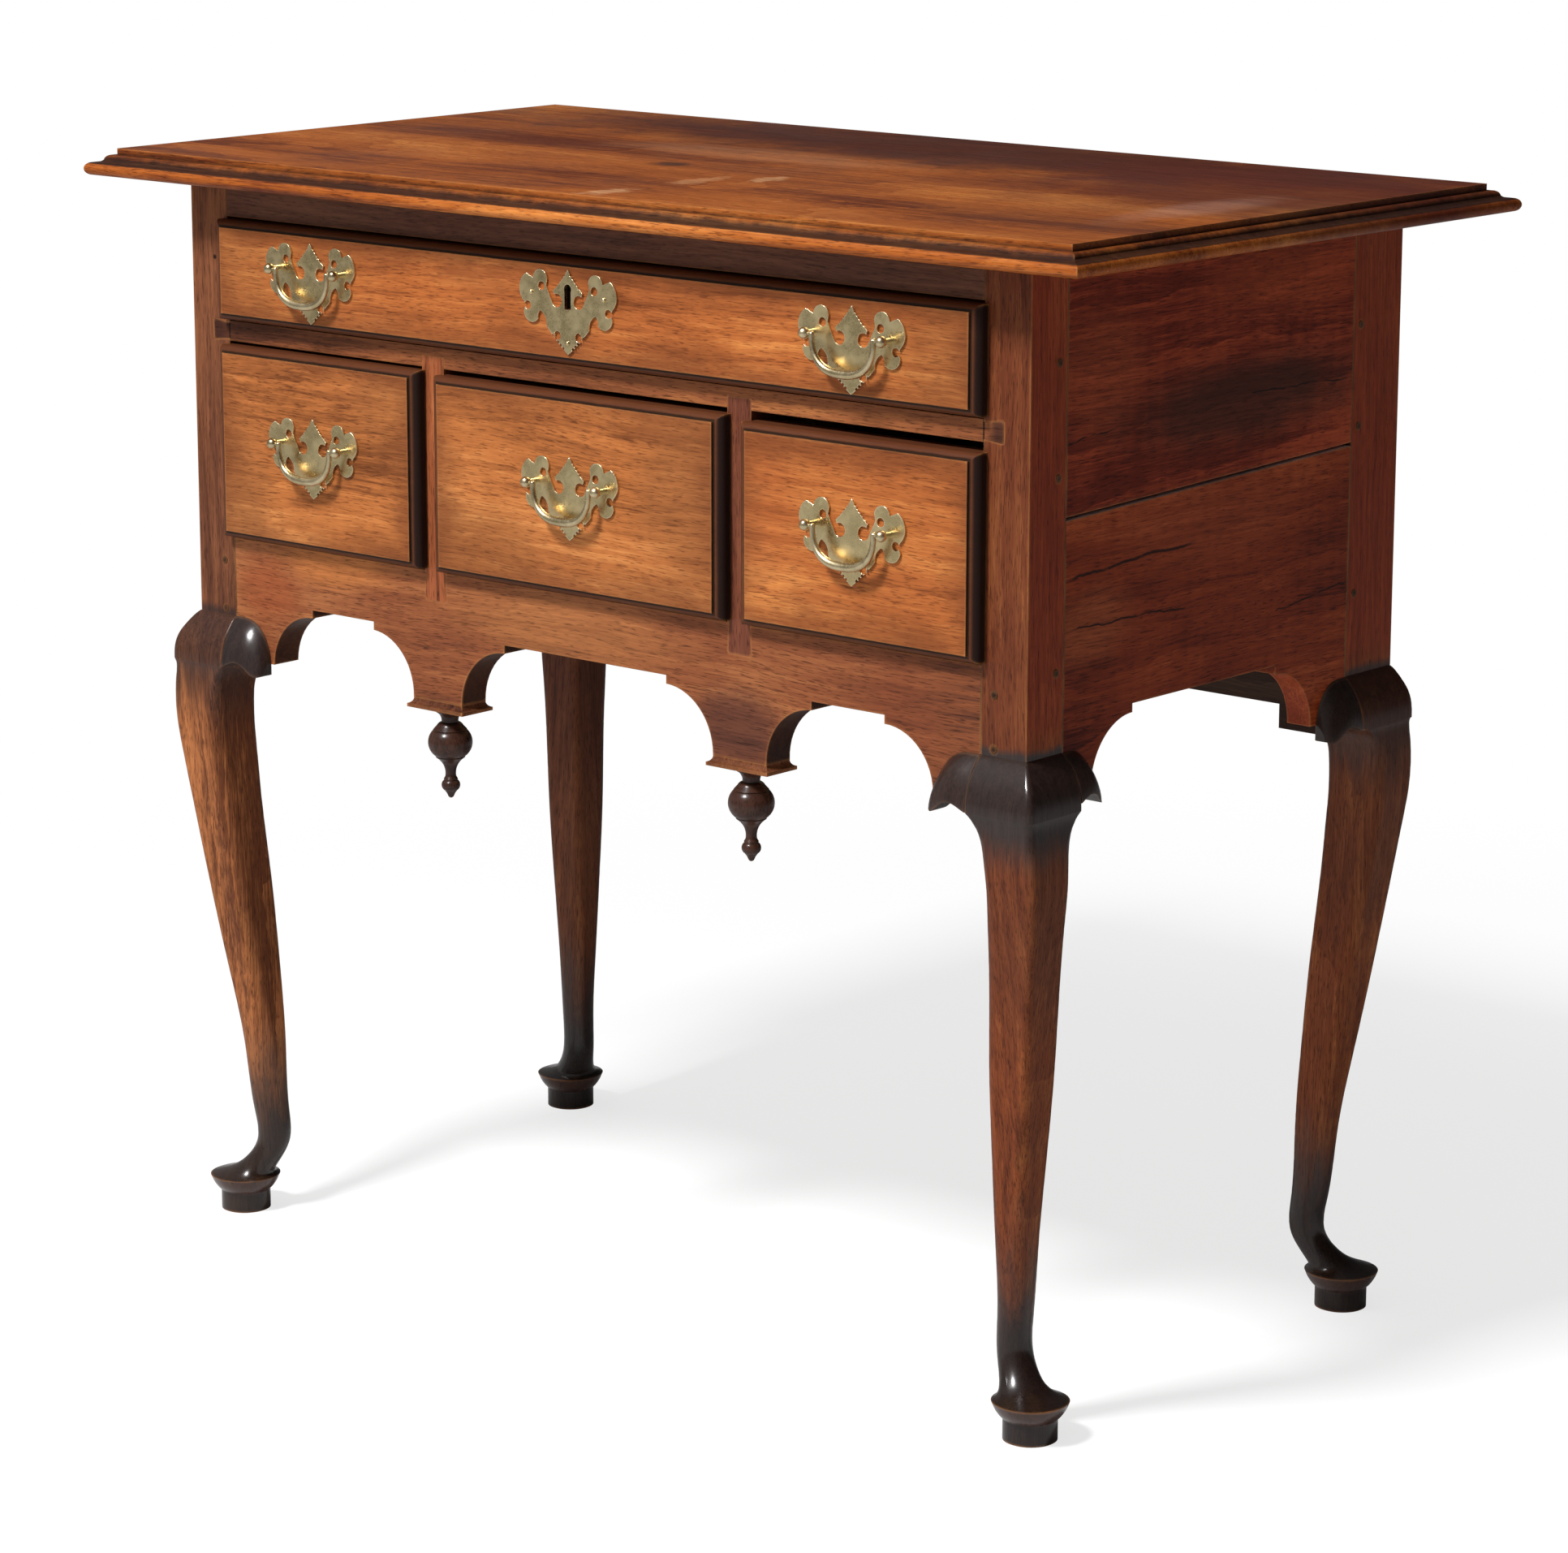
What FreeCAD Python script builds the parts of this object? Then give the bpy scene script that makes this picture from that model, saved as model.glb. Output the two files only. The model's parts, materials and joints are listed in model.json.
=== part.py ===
import FreeCAD, Part
import math
import os

# Queen Anne lowboy: a four-drawer dressing table on cabriole legs.
# Millimetres. Origin on the floor under the middle of the case, Z up, drawers facing -Y.

Vector = FreeCAD.Vector

# Overall
overall_height = 737.0
overrun = 40.0

# Moulded top, and how far it stands out past the case
top_width = 836.0
top_depth = 455.0
side_overhang = 62.5
front_overhang = 39.0
top_thickness = 17.5
top_edge_width = 16.0
top_fillet = 4.2
top_ledge = 2.2
bullnose_radius = 4.25
shoulder_run_share = 0.44
shoulder_drop_share = 0.67
shoulder_crown_shares = (0.30, 0.19)
hollow_bottom_shares = (0.65, 0.94)

# Posts and cabriole legs
post_width = 34.5
rear_post_depth = 51.0
knee_drop = 53.5
knee_swell = 30.0
knee_tuck = 3.0
knee_bulge = 15.1
back_knee_bulge = 7.6
leg_width = 38.5
ankle_inset = 30.0
shaft_spread = 3.3
foot_inset_x = 7.2
foot_inset_y = 21.0
rear_foot_inset_y = 26.0
arris_radius = 0.8
knee_arris_radius = 5.0
# Sections of the knee: drop below its top, swell and rounding of the outer arris.
knee_shares = (
    (0.0, 0.0, 0.0),
    (0.08, 0.19, 0.12),
    (0.23, 0.43, 0.30),
    (0.45, 0.72, 0.55),
    (0.70, 0.92, 0.80),
    (1.0, 1.0, 1.0),
)
# Sections from under the knee to the pad: height, inset, width, two roundings and shift to the foot.
section_shares = (
    (0.9755, 0.250, 1.117, 0.12, 0.10, 0.0),
    (0.9570, 0.214, 1.070, 0.12, 0.15, 0.0),
    (0.9190, 0.207, 1.055, 0.13, 0.21, 0.0),
    (0.8740, 0.240, 1.034, 0.13, 0.24, 0.0),
    (0.8280, 0.282, 1.005, 0.13, 0.26, 0.0),
    (0.7451, 0.368, 0.943, 0.13, 0.27, 0.0),
    (0.5638, 0.580, 0.842, 0.14, 0.24, 0.0),
    (0.4123, 0.752, 0.740, 0.20, 0.29, 0.0),
    (0.2609, 0.902, 0.636, 0.31, 0.39, 0.0),
    (0.1286, 0.987, 0.571, 0.39, 0.48, 0.0),
    (0.0689, 1.000, 0.571, 0.46, 0.48, 0.0),
    (0.0337, 0.940, 0.640, 0.48, 0.48, 0.26),
    (0.0168, 0.860, 0.755, 0.48, 0.48, 0.50),
    (0.0076, 0.760, 0.935, 0.48, 0.48, 0.74),
    (0.0027, 0.700, 1.110, 0.48, 0.48, 0.91),
)
foot_round_share = 0.48
# Share of the leg's height below the knee in which the shaft moves to its stance.
stance_share = 0.126
pad_radius = 23.8
pad_rim_height = 24.6
foot_base_radius = 16.7
foot_base_height = 13.5
pad_swell_shares = ((0.30, 0.44), (0.68, 0.80))

# Knee returns glued beside the knees
return_length = 33.0
side_return_length = 27.0
rear_return_length = 31.0
return_tip_drop = 37.0
side_return_tip_drop = 32.5
return_arch_rise = 8.0
return_crown_shares = (0.74, 0.46)
# Stations of a return: place along it, drop of its upper edge, rise of its underside and swell.
return_shares = (
    (0.0, 0.0, 0.50, 1.0),
    (0.25, 0.005, 0.92, 1.0),
    (0.50, 0.045, 0.95, 0.98),
    (0.68, 0.14, 0.45, 0.93),
    (0.80, 0.25, 0.08, 0.86),
    (0.92, 0.44, 0.0, 0.72),
    (1.0, 0.70, 0.12, 0.50),
)

# Frame boards
board_thickness = 18.0
tenon_length = 18.0
tenon_thickness = 8.0
side_tenon_inset = 5.0
tenon_shoulder = 12.0
apron_thickness = 22.0
apron_tenon_inset = 7.0
rail_depth = 25.0
back_thickness = 16.0
back_inset = 3.0
back_height = 325.5
back_bracket_drop = 16.0
back_bracket_width = 38.0
back_tenon_inset = 4.0

# Drawer openings, measured down from the top of the posts
top_rail_height = 23.5
long_opening_height = 69.3
small_opening_height = 132.7
divider_thickness = 13.5
divider_depth = 70.0
divider_dovetail_length = 15.0
divider_dovetail_depth = 20.0
divider_dovetail_slope_share = 0.12
partition_share = 0.4081
partition_width = 19.5
partition_depth = 32.0
partition_lap_up = 7.5
partition_lap_down = 19.5
partition_lap_depth = 14.0
partition_waist = 17.0

# Shaped lower edge of the front
apron_height = 40.5
apron_step = 5.5
lobe_half_width = 22.0
lobe_drop = 45.0
lobe_inner_hollow = 39.0
lobe_outer_hollow = 36.3
bracket_width = 36.0
bracket_hollow = 38.0
bracket_drop = 42.0
quarter_share = 0.7071

# Shaped lower edge of the sides, and the shrinkage gap between the two boards
side_edge_drop = 34.5
side_front_bracket = 68.0
side_rear_bracket = 76.5
side_hollow = 40.0
gap_front_drop = 152.8
gap_rear_drop = 143.2
gap_width = 2.3

# Pendants and their pads
pad_overhang = 3.2
plinth_height = 6.5
plinth_lip = 2.2
drop_radius = 14.6
drop_length = 60.0
spigot_radius = 4.0
spigot_length = 22.0

# Drawer runners
runner_width = 25.0
runner_thickness = 14.0
guide_height = 20.0
centre_runner_width = 52.0
centre_guide_height = 12.0

# Pegs through the joints, their heights measured down from the top of the posts
peg_radius = 2.5
peg_length = 26.0
peg_stand = 0.4
side_peg_inset = 27.0
rear_peg_inset = 43.5
front_peg_inset = 24.5
front_post_peg_drops = (59.5, 127.5, 243.5)
rear_post_peg_drops = (68.5, 132.5, 239.5)
apron_peg_drops = (255.5, 288.5)

# Lipped drawers
lip_overlap = 3.0
lip_foot_gap = 1.6
lip_thickness = 5.0
front_proud = 10.8
front_body = 12.0
side_moulding = 6.5
head_moulding = 4.6
field_step = 1.4
drawer_clearance = 0.8
drawer_lift = 0.4
drawer_headroom = 3.0
drawer_rear_gap = 20.0
drawer_side_thickness = 11.0
drawer_bottom_thickness = 7.0
drawer_bottom_rise = 6.0
groove_depth = 4.0
tail_length = 9.0
tail_slope_share = 0.16
tail_half_share = 0.25
long_tail_count = 2
small_tail_count = 4
long_lip_gap = 1.5
left_lip_gap = 2.0
centre_lip_gap = 3.5
right_lip_gap = 6.0

# Brass plates
plate_width = 83.0
plate_height = 53.0
plate_thickness = 1.6
plate_hole_radius = 2.8
nick_radius = 1.0
nick_count = 5
long_plate_inset = 91.0
long_plate_rise = 6.5
small_plate_rise = 37.5
escutcheon_rise = 8.5
key_radius = 3.1
key_slot_width = 5.4
key_height_share = 0.77
key_slot_bottom_share = 0.53
pin_radius = 1.6

# Bail handles on ball-headed posts
post_spacing_half = 29.8
pivot_height_share = 0.66
ball_radius = 3.6
ball_stand = 8.0
stem_radius = 1.9
shank_radius = 1.6
shank_end = 3.0
bail_half_width = 23.8
bail_drop = 22.0
bail_end_radius = 1.75
bail_middle_radius = 2.9
bail_pin_radius = 1.2
bail_pin_clearance = 0.06
bail_pin_length = 6.6
bail_squareness = 2.5
bail_half_steps = 6

# Lock of the long drawer
lock_width = 64.0
lock_height = 46.0
lock_thickness = 9.0
bolt_width = 20.0
bolt_thickness = 5.0
bolt_height = 16.0
bolt_travel = 8.0
bolt_clearance = 0.4
key_depth = 6.5

# Derived places
half_width = top_width / 2 - side_overhang
half_depth = top_depth / 2 - front_overhang
front_plane = -half_depth
post_top = overall_height - top_thickness
post_inner = half_width - post_width
long_opening_top = post_top - top_rail_height
long_opening_bottom = long_opening_top - long_opening_height
small_opening_top = long_opening_bottom - divider_thickness
small_opening_bottom = small_opening_top - small_opening_height
knee_top = small_opening_bottom - knee_drop
knee_widest = knee_top - knee_swell
knee_bottom = knee_widest - knee_tuck
partition_offset = post_inner * partition_share
apron_flat_height = small_opening_bottom - apron_height
lobe_bottom = apron_flat_height - lobe_drop
lobe_inner = partition_offset - lobe_half_width
lobe_outer = partition_offset + lobe_half_width
middle_flat_half = lobe_inner - lobe_inner_hollow
outer_flat_inner = lobe_outer + lobe_outer_hollow
bracket_inner = post_inner - bracket_width
bracket_bottom = apron_flat_height - bracket_drop
outer_flat_outer = bracket_inner - bracket_hollow
back_edge_height = post_top - back_height
back_bracket_height = back_edge_height - back_bracket_drop
side_flat_height = small_opening_bottom - side_edge_drop
gap_front_height = post_top - gap_front_drop
gap_rear_height = post_top - gap_rear_drop
long_plate_offset = post_inner - long_plate_inset
long_plate_bottom = long_opening_bottom + long_plate_rise
small_plate_bottom = small_opening_bottom + small_plate_rise
escutcheon_bottom = long_opening_bottom + escutcheon_rise
front_post_rear = front_plane + post_width
rear_post_front = half_depth - rear_post_depth
apron_rear = front_plane + apron_thickness
back_rear = half_depth - back_inset
back_front = back_rear - back_thickness
drawer_rear = back_front - drawer_rear_gap
side_flat_front = front_post_rear + side_front_bracket
side_flat_rear = rear_post_front - side_rear_bracket
side_inner = half_width - board_thickness
partition_inner = partition_offset - partition_width / 2
partition_outer = partition_offset + partition_width / 2
origin = Vector(0, 0, 0)
across_x = Vector(1, 0, 0)
across_y = Vector(0, 1, 0)
up = Vector(0, 0, 1)
full_turn_degrees = 360
quarter_turn_degrees = full_turn_degrees / 4


def box(x_low, x_high, y_low, y_high, z_low, z_high):
    """Block between two limits on each axis."""
    return Part.makeBox(x_high - x_low, y_high - y_low, z_high - z_low, Vector(x_low, y_low, z_low))


def on_front(a, b):
    """Point of the X-Z plane."""
    return Vector(a, 0, b)


def on_side(a, b):
    """Point of the Y-Z plane."""
    return Vector(0, a, b)


def on_floor(a, b):
    """Point of the X-Y plane."""
    return Vector(a, b, 0)


def path_edges(start, steps, place):
    """Edges of an outline; a step is an end point, or a middle and an end point of an arc."""
    edges = []
    here = place(*start)
    for step in steps:
        end = place(*step[-1])
        if len(step) == 1:
            edges.append(Part.makeLine(here, end))
        else:
            edges.append(Part.Arc(here, place(*step[0]), end).toShape())
        here = end
    return edges


def closed_face(edges):
    """Flat face inside a ring of edges."""
    return Part.Face(Part.Wire(Part.__sortEdges__(edges)))


def outline_face(start, steps, place):
    """Flat face inside one outline that returns to its start."""
    return closed_face(path_edges(start, steps + [(start,)], place))


def mirrored_x(shape):
    """The same piece on the other side of the middle."""
    return shape.mirror(origin, across_x)


def pair(shape):
    """A piece and its mirror image, left and right."""
    return Part.makeCompound([shape, mirrored_x(shape)])


def cylinder(radius, length, base, direction):
    """Round bar from a base point along a direction."""
    return Part.makeCylinder(radius, length, base, direction)


def joined(pieces):
    """One solid from touching pieces."""
    return pieces[0].fuse(pieces[1:]).removeSplitter()


def between(low, high, share):
    """Point at a share of the way from one value to another."""
    return low + (high - low) * share


def top_edge_steps(half):
    """Moulded edge from the upper face down to the underside: fillet, ogee and bullnose."""
    inner = half - top_edge_width
    fillet_foot = overall_height - top_fillet
    ogee_start = inner + top_ledge
    ogee_end = half - bullnose_radius
    ogee_foot = post_top + bullnose_radius + bullnose_radius
    turn = (between(ogee_start, ogee_end, shoulder_run_share),
            between(fillet_foot, ogee_foot, shoulder_drop_share))
    crown = (between(ogee_start, ogee_end, shoulder_crown_shares[0]),
             between(fillet_foot, ogee_foot, shoulder_crown_shares[1]))
    hollow = (between(ogee_start, ogee_end, hollow_bottom_shares[0]),
              between(fillet_foot, ogee_foot, hollow_bottom_shares[1]))
    steps = [
        ((inner, fillet_foot),),
        ((ogee_start, fillet_foot),),
        (crown, turn),
        (hollow, (ogee_end, ogee_foot)),
        ((half, post_top + bullnose_radius), (ogee_end, post_top)),
    ]
    return (inner, overall_height), steps


def moulded_bar(edge, length, place, along):
    """Bar with one moulded edge on both long sides; the edge is its start and its steps."""
    start, steps = edge
    right = path_edges(start, steps, place)
    other = [edge.mirror(origin, place(1, 0)) for edge in right]
    end = steps[-1][-1]
    lids = [Part.makeLine(place(-start[0], start[1]), place(*start)),
            Part.makeLine(place(-end[0], end[1]), place(*end))]
    bar = closed_face(right + other + lids).extrude(along * length)
    bar.translate(along * (-length / 2))
    return bar


def top_board():
    """Top with its moulding mitred at the corners."""
    lengthwise = moulded_bar(top_edge_steps(top_depth / 2), top_width + overrun, on_side, across_x)
    crosswise = moulded_bar(top_edge_steps(top_width / 2), top_depth + overrun, on_front, across_y)
    return lengthwise.common(crosswise)


def knee_section(height, side_reach, end_reach, depth, radius):
    """Section of the front-left knee, swelling from the two outer faces of the post only."""
    middle = (-half_width + (post_width - side_reach) / 2, front_plane + (depth - end_reach) / 2)
    return leg_section(height, middle, (post_width + side_reach, depth + end_reach), radius, arris_radius)


def knee(end_bulge, depth):
    """Knee of the front-left post, swelling to its side and, by its own bulge, to its end."""
    wires = []
    for drop_share, swell_share, round_share in knee_shares:
        height = between(knee_top, knee_widest, drop_share)
        radius = between(arris_radius, knee_arris_radius, round_share)
        wires.append(knee_section(height, knee_bulge * swell_share, end_bulge * swell_share, depth, radius))
    wires.append(knee_section(knee_bottom, knee_bulge, end_bulge, depth, knee_arris_radius))
    return Part.makeLoft(wires, True, False)


def leg_section(height, middle, width, front_radius, side_radius):
    """Rounded square across the leg; the outer and inner arrises share one radius."""
    low_x = middle[0] - width[0] / 2
    high_x = middle[0] + width[0] / 2
    low_y = middle[1] - width[1] / 2
    high_y = middle[1] + width[1] / 2
    corners = ((low_x, low_y, 1, 1, front_radius), (high_x, low_y, -1, 1, side_radius),
               (high_x, high_y, -1, -1, front_radius), (low_x, high_y, 1, -1, side_radius))
    arcs = []
    for x, y, inward_x, inward_y, radius in corners:
        on_x = (x + inward_x * radius, y)
        on_y = (x, y + inward_y * radius)
        cut = radius * (1 - quarter_share)
        middle_point = (x + inward_x * cut, y + inward_y * cut)
        first, last = (on_y, on_x) if inward_x * inward_y > 0 else (on_x, on_y)
        arcs.append((first, middle_point, last))
    edges = []
    for index, (first, middle_point, last) in enumerate(arcs):
        following = arcs[(index + 1) % len(arcs)][0]
        corner_end = Vector(*last, height)
        corner = Part.Arc(Vector(*first, height), Vector(*middle_point, height), corner_end)
        edges.append(corner.toShape())
        edges.append(Part.makeLine(corner_end, Vector(*following, height)))
    return Part.Wire(edges)


def leg_shaft(end_bulge, depth, foot_inset):
    """Swept part of the front-left leg from under the knee to the pad."""
    wires = [knee_section(knee_bottom, knee_bulge, end_bulge, depth, knee_arris_radius)]
    for height_share, inset_share, width_share, front_share, side_share, shift in section_shares:
        height = between(pad_rim_height, knee_bottom, height_share)
        settled = min(1, (1 - height_share) / stance_share)
        inset_x = ankle_inset * inset_share - shaft_spread * settled
        inset_y = ankle_inset * inset_share + knee_bulge - end_bulge
        middle = (-half_width + between(inset_x, foot_inset_x, shift),
                  front_plane + between(inset_y, foot_inset, shift))
        width = leg_width * width_share
        wires.append(leg_section(height, middle, (width, width), width * front_share, width * side_share))
    wires.append(foot_section(pad_rim_height, pad_radius, foot_inset))
    return Part.makeLoft(wires, True, False)


def foot_section(height, radius, foot_inset):
    """Round section of the pad foot under the front-left leg."""
    middle = (-half_width + foot_inset_x, front_plane + foot_inset)
    width = radius + radius
    rounding = width * foot_round_share
    return leg_section(height, middle, (width, width), rounding, rounding)


def pad_foot(foot_inset):
    """Pad swelling out of its disc, under the front-left leg."""
    wires = [foot_section(foot_base_height, foot_base_radius, foot_inset)]
    for height_share, radius_share in pad_swell_shares:
        wires.append(foot_section(between(foot_base_height, pad_rim_height, height_share),
                                  between(foot_base_radius, pad_radius, radius_share), foot_inset))
    wires.append(foot_section(pad_rim_height, pad_radius, foot_inset))
    disc = Part.Face(foot_section(0, foot_base_radius, foot_inset)).extrude(up * foot_base_height)
    return Part.makeLoft(wires, True, False).fuse(disc)


def leg(end_bulge, depth, foot_inset):
    """Whole leg in the front-left corner, post and foot in one."""
    post = box(-half_width, -half_width + post_width, front_plane, front_plane + depth, knee_top, post_top)
    shaft = leg_shaft(end_bulge, depth, foot_inset)
    return joined([post, knee(end_bulge, depth), shaft, pad_foot(foot_inset)])


def return_section(place, top, bottom, swell):
    """Cushion-shaped section across a return at one place along it."""
    back_top = Vector(place, 0, top)
    back_bottom = Vector(place, 0, bottom)
    front_bottom = Vector(place, -swell, bottom)
    crown = Vector(place, -swell * return_crown_shares[0], between(top, bottom, return_crown_shares[1]))
    front = Part.Arc(back_top, crown, front_bottom).toShape()
    return Part.Wire([front, Part.makeLine(front_bottom, back_bottom), Part.makeLine(back_bottom, back_top)])


def knee_return(bulge, length, tip_drop):
    """Return running along +X from zero, with its back on the plane Y = 0 and swelling towards -Y."""
    tip = knee_top - tip_drop
    wires = []
    for place_share, drop_share, rise_share, swell_share in return_shares:
        wires.append(return_section(length * place_share, between(knee_top, tip, drop_share),
                                    tip + return_arch_rise * rise_share, bulge * swell_share))
    return Part.makeLoft(wires, True, False)


def front_knee_blocks():
    """Returns on both faces of the two front legs."""
    on_apron = knee_return(knee_bulge, return_length, return_tip_drop)
    on_apron.translate(Vector(-post_inner, front_plane, 0))
    on_board = mirrored_x(knee_return(knee_bulge, side_return_length, side_return_tip_drop))
    on_board.rotate(origin, up, -quarter_turn_degrees)
    on_board.translate(Vector(-half_width, front_post_rear, 0))
    left = [on_apron, on_board]
    return Part.makeCompound(left + [mirrored_x(piece) for piece in left])


def rear_knee_blocks():
    """Returns on the side faces of the two rear legs."""
    piece = knee_return(knee_bulge, rear_return_length, return_tip_drop)
    piece.rotate(origin, up, -quarter_turn_degrees)
    piece.translate(Vector(-half_width, rear_post_front, 0))
    return pair(piece)


def front_apron():
    """Shaped front board: two lobes, stepped flats and quarter hollows, tenoned into the posts."""
    hollow_top = apron_flat_height - apron_step

    def hollow(flat, end, bottom):
        return (between(flat, end, quarter_share), between(bottom, hollow_top, quarter_share))

    steps = [
        ((post_inner, bracket_bottom),),
        ((bracket_inner, bracket_bottom),),
        (hollow(outer_flat_outer, bracket_inner, bracket_bottom), (outer_flat_outer, hollow_top)),
        ((outer_flat_outer, apron_flat_height),),
        ((outer_flat_inner, apron_flat_height),),
        ((outer_flat_inner, hollow_top),),
        (hollow(outer_flat_inner, lobe_outer, lobe_bottom), (lobe_outer, lobe_bottom)),
        ((lobe_inner, lobe_bottom),),
        (hollow(middle_flat_half, lobe_inner, lobe_bottom), (middle_flat_half, hollow_top)),
        ((middle_flat_half, apron_flat_height),),
        ((0, apron_flat_height),),
        ((0, small_opening_bottom),),
    ]
    half = outline_face((post_inner, small_opening_bottom), steps, on_front)
    half = half.extrude(across_y * apron_thickness)
    half.translate(Vector(0, front_plane, 0))
    tenon_front = front_plane + apron_tenon_inset
    tenon = box(post_inner, post_inner + tenon_length, tenon_front, tenon_front + tenon_thickness,
                bracket_bottom + tenon_shoulder, small_opening_bottom - tenon_shoulder)
    half = half.fuse(tenon)
    return joined([half, mirrored_x(half)])


def side_outline(lower):
    """One board of a side, above or below the slanting shrinkage gap."""
    half_gap = gap_width / 2
    if not lower:
        steps = [((rear_post_front, gap_rear_height + half_gap),), ((rear_post_front, post_top),),
                 ((front_post_rear, post_top),)]
        return outline_face((front_post_rear, gap_front_height + half_gap), steps, on_side)
    hollow_top = side_flat_height - apron_step
    foot = hollow_top - side_hollow
    front_end = side_flat_front - side_hollow
    rear_end = side_flat_rear + side_hollow
    bend = between(foot, hollow_top, quarter_share)
    steps = [
        ((rear_post_front, gap_rear_height - half_gap),),
        ((rear_post_front, foot),),
        ((rear_end, foot),),
        ((between(side_flat_rear, rear_end, quarter_share), bend), (side_flat_rear, hollow_top)),
        ((side_flat_rear, side_flat_height),),
        ((side_flat_front, side_flat_height),),
        ((side_flat_front, hollow_top),),
        ((between(side_flat_front, front_end, quarter_share), bend), (front_end, foot)),
        ((front_post_rear, foot),),
    ]
    return outline_face((front_post_rear, gap_front_height - half_gap), steps, on_side)


def side_board(lower):
    """Board of the right side with its two tenons."""
    board = side_outline(lower).extrude(across_x * board_thickness)
    board.translate(Vector(side_inner, 0, 0))
    tenon_outer = half_width - side_tenon_inset
    low = side_flat_height - apron_step if lower else gap_rear_height + tenon_shoulder
    high = gap_front_height - tenon_shoulder if lower else post_top - tenon_shoulder
    tenon = box(tenon_outer - tenon_thickness, tenon_outer, front_post_rear - tenon_length,
                rear_post_front + tenon_length, low, high)
    inner_part = box(tenon_outer - tenon_thickness, tenon_outer, front_post_rear, rear_post_front, low, high)
    return joined([board, tenon.cut(inner_part)])


def back_board():
    """Back with plain lower edge and a bracket beside each rear leg."""
    bracket = post_inner - back_bracket_width
    steps = [
        ((post_inner, back_bracket_height),),
        ((bracket, back_bracket_height),),
        ((bracket, back_edge_height),),
        ((-bracket, back_edge_height),),
        ((-bracket, back_bracket_height),),
        ((-post_inner, back_bracket_height),),
        ((-post_inner, post_top),),
    ]
    board = outline_face((post_inner, post_top), steps, on_front).extrude(across_y * back_thickness)
    board.translate(Vector(0, back_front, 0))
    reach = post_inner + tenon_length
    tenon_front = back_front + back_tenon_inset
    tenons = box(-reach, reach, tenon_front, tenon_front + tenon_thickness,
                 knee_top + tenon_shoulder, post_top - tenon_shoulder)
    return joined([board, tenons])


def top_rail(bolt):
    """Rail over the long drawer, mortised for the lock bolt."""
    reach = post_inner + tenon_length
    tenon_front = front_plane + apron_tenon_inset
    rail = box(-post_inner, post_inner, front_plane, front_plane + rail_depth, long_opening_top, post_top)
    tenons = box(-reach, reach, tenon_front, tenon_front + tenon_thickness, long_opening_top, post_top)
    seat = bolt.BoundBox
    mortise = box(seat.XMin - bolt_clearance, seat.XMax + bolt_clearance, seat.YMin - bolt_clearance,
                  seat.YMax + bolt_clearance, long_opening_top, seat.ZMax + bolt_travel + bolt_clearance)
    return joined([rail, tenons]).cut(mortise)


def drawer_divider():
    """Blade between the long drawer and the small ones, dovetailed into the front of the posts."""
    blade = box(-post_inner, post_inner, front_plane, front_plane + divider_depth,
                small_opening_top, long_opening_bottom)
    slope = divider_thickness * divider_dovetail_slope_share
    end = post_inner + divider_dovetail_length
    steps = [((end, small_opening_top),), ((end, long_opening_bottom),),
             ((post_inner, long_opening_bottom - slope),)]
    tail = outline_face((post_inner, small_opening_top + slope), steps, on_front)
    tail = tail.extrude(across_y * divider_dovetail_depth)
    tail.translate(Vector(0, front_plane, 0))
    return joined([blade, tail, mirrored_x(tail)])


def right_partition():
    """Upright between two small drawers, lapped into the divider and dovetailed over the apron."""
    body = box(partition_inner, partition_outer, front_plane, front_plane + partition_depth,
               small_opening_bottom, small_opening_top)
    upper = box(partition_inner, partition_outer, front_plane, front_plane + partition_lap_depth,
                small_opening_top, small_opening_top + partition_lap_up)
    waist = partition_waist / 2
    wide = partition_width / 2
    foot = small_opening_bottom - partition_lap_down
    steps = [((partition_offset + wide, foot),), ((partition_offset - wide, foot),),
             ((partition_offset - waist, small_opening_bottom),)]
    lower = outline_face((partition_offset + waist, small_opening_bottom), steps, on_front)
    lower = lower.extrude(across_y * partition_lap_depth)
    lower.translate(Vector(0, front_plane, 0))
    return joined([body, upper, lower])


def right_plinth():
    """Moulded pad under a lobe of the apron."""
    half = lobe_half_width + pad_overhang
    bottom = lobe_bottom - plinth_height
    lip_top = bottom + plinth_lip

    def edge_steps(reach):
        inner = reach - pad_overhang
        hollow = (between(inner, reach, 1 - quarter_share), between(lobe_bottom, lip_top, quarter_share))
        return (inner, lobe_bottom), [(hollow, (reach, lip_top)), ((reach, bottom),)]

    deep = apron_thickness / 2 + pad_overhang
    crosswise = moulded_bar(edge_steps(half), deep + deep + overrun, on_front, across_y)
    lengthwise = moulded_bar(edge_steps(deep), half + half + overrun, on_side, across_x)
    pad = crosswise.common(lengthwise)
    pad.translate(Vector(partition_offset, front_plane + apron_thickness / 2, 0))
    return pad


# Turned pendant: radius and drop of each station, as shares of its ball radius and length.
drop_start_share = 0.66
drop_steps_shares = (
    ((0.63, 0.035),),
    ((0.45, 0.075), (0.38, 0.13)),
    ((0.38, 0.148),),
    ((0.52, 0.165), (0.60, 0.19)),
    ((0.76, 0.232),),
    ((0.74, 0.240),),
    ((0.79, 0.247),),
    ((1.00, 0.375), (0.69, 0.525)),
    ((0.65, 0.533),),
    ((0.66, 0.541),),
    ((0.57, 0.558),),
    ((0.335, 0.625), (0.25, 0.755)),
    ((0.32, 0.785),),
    ((0.30, 0.797),),
    ((0.42, 0.860), (0.29, 0.912)),
    ((0.19, 0.945),),
    ((0.115, 0.985),),
    ((0.06, 0.996),),
    ((0.0, 1.00),),
)


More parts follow.
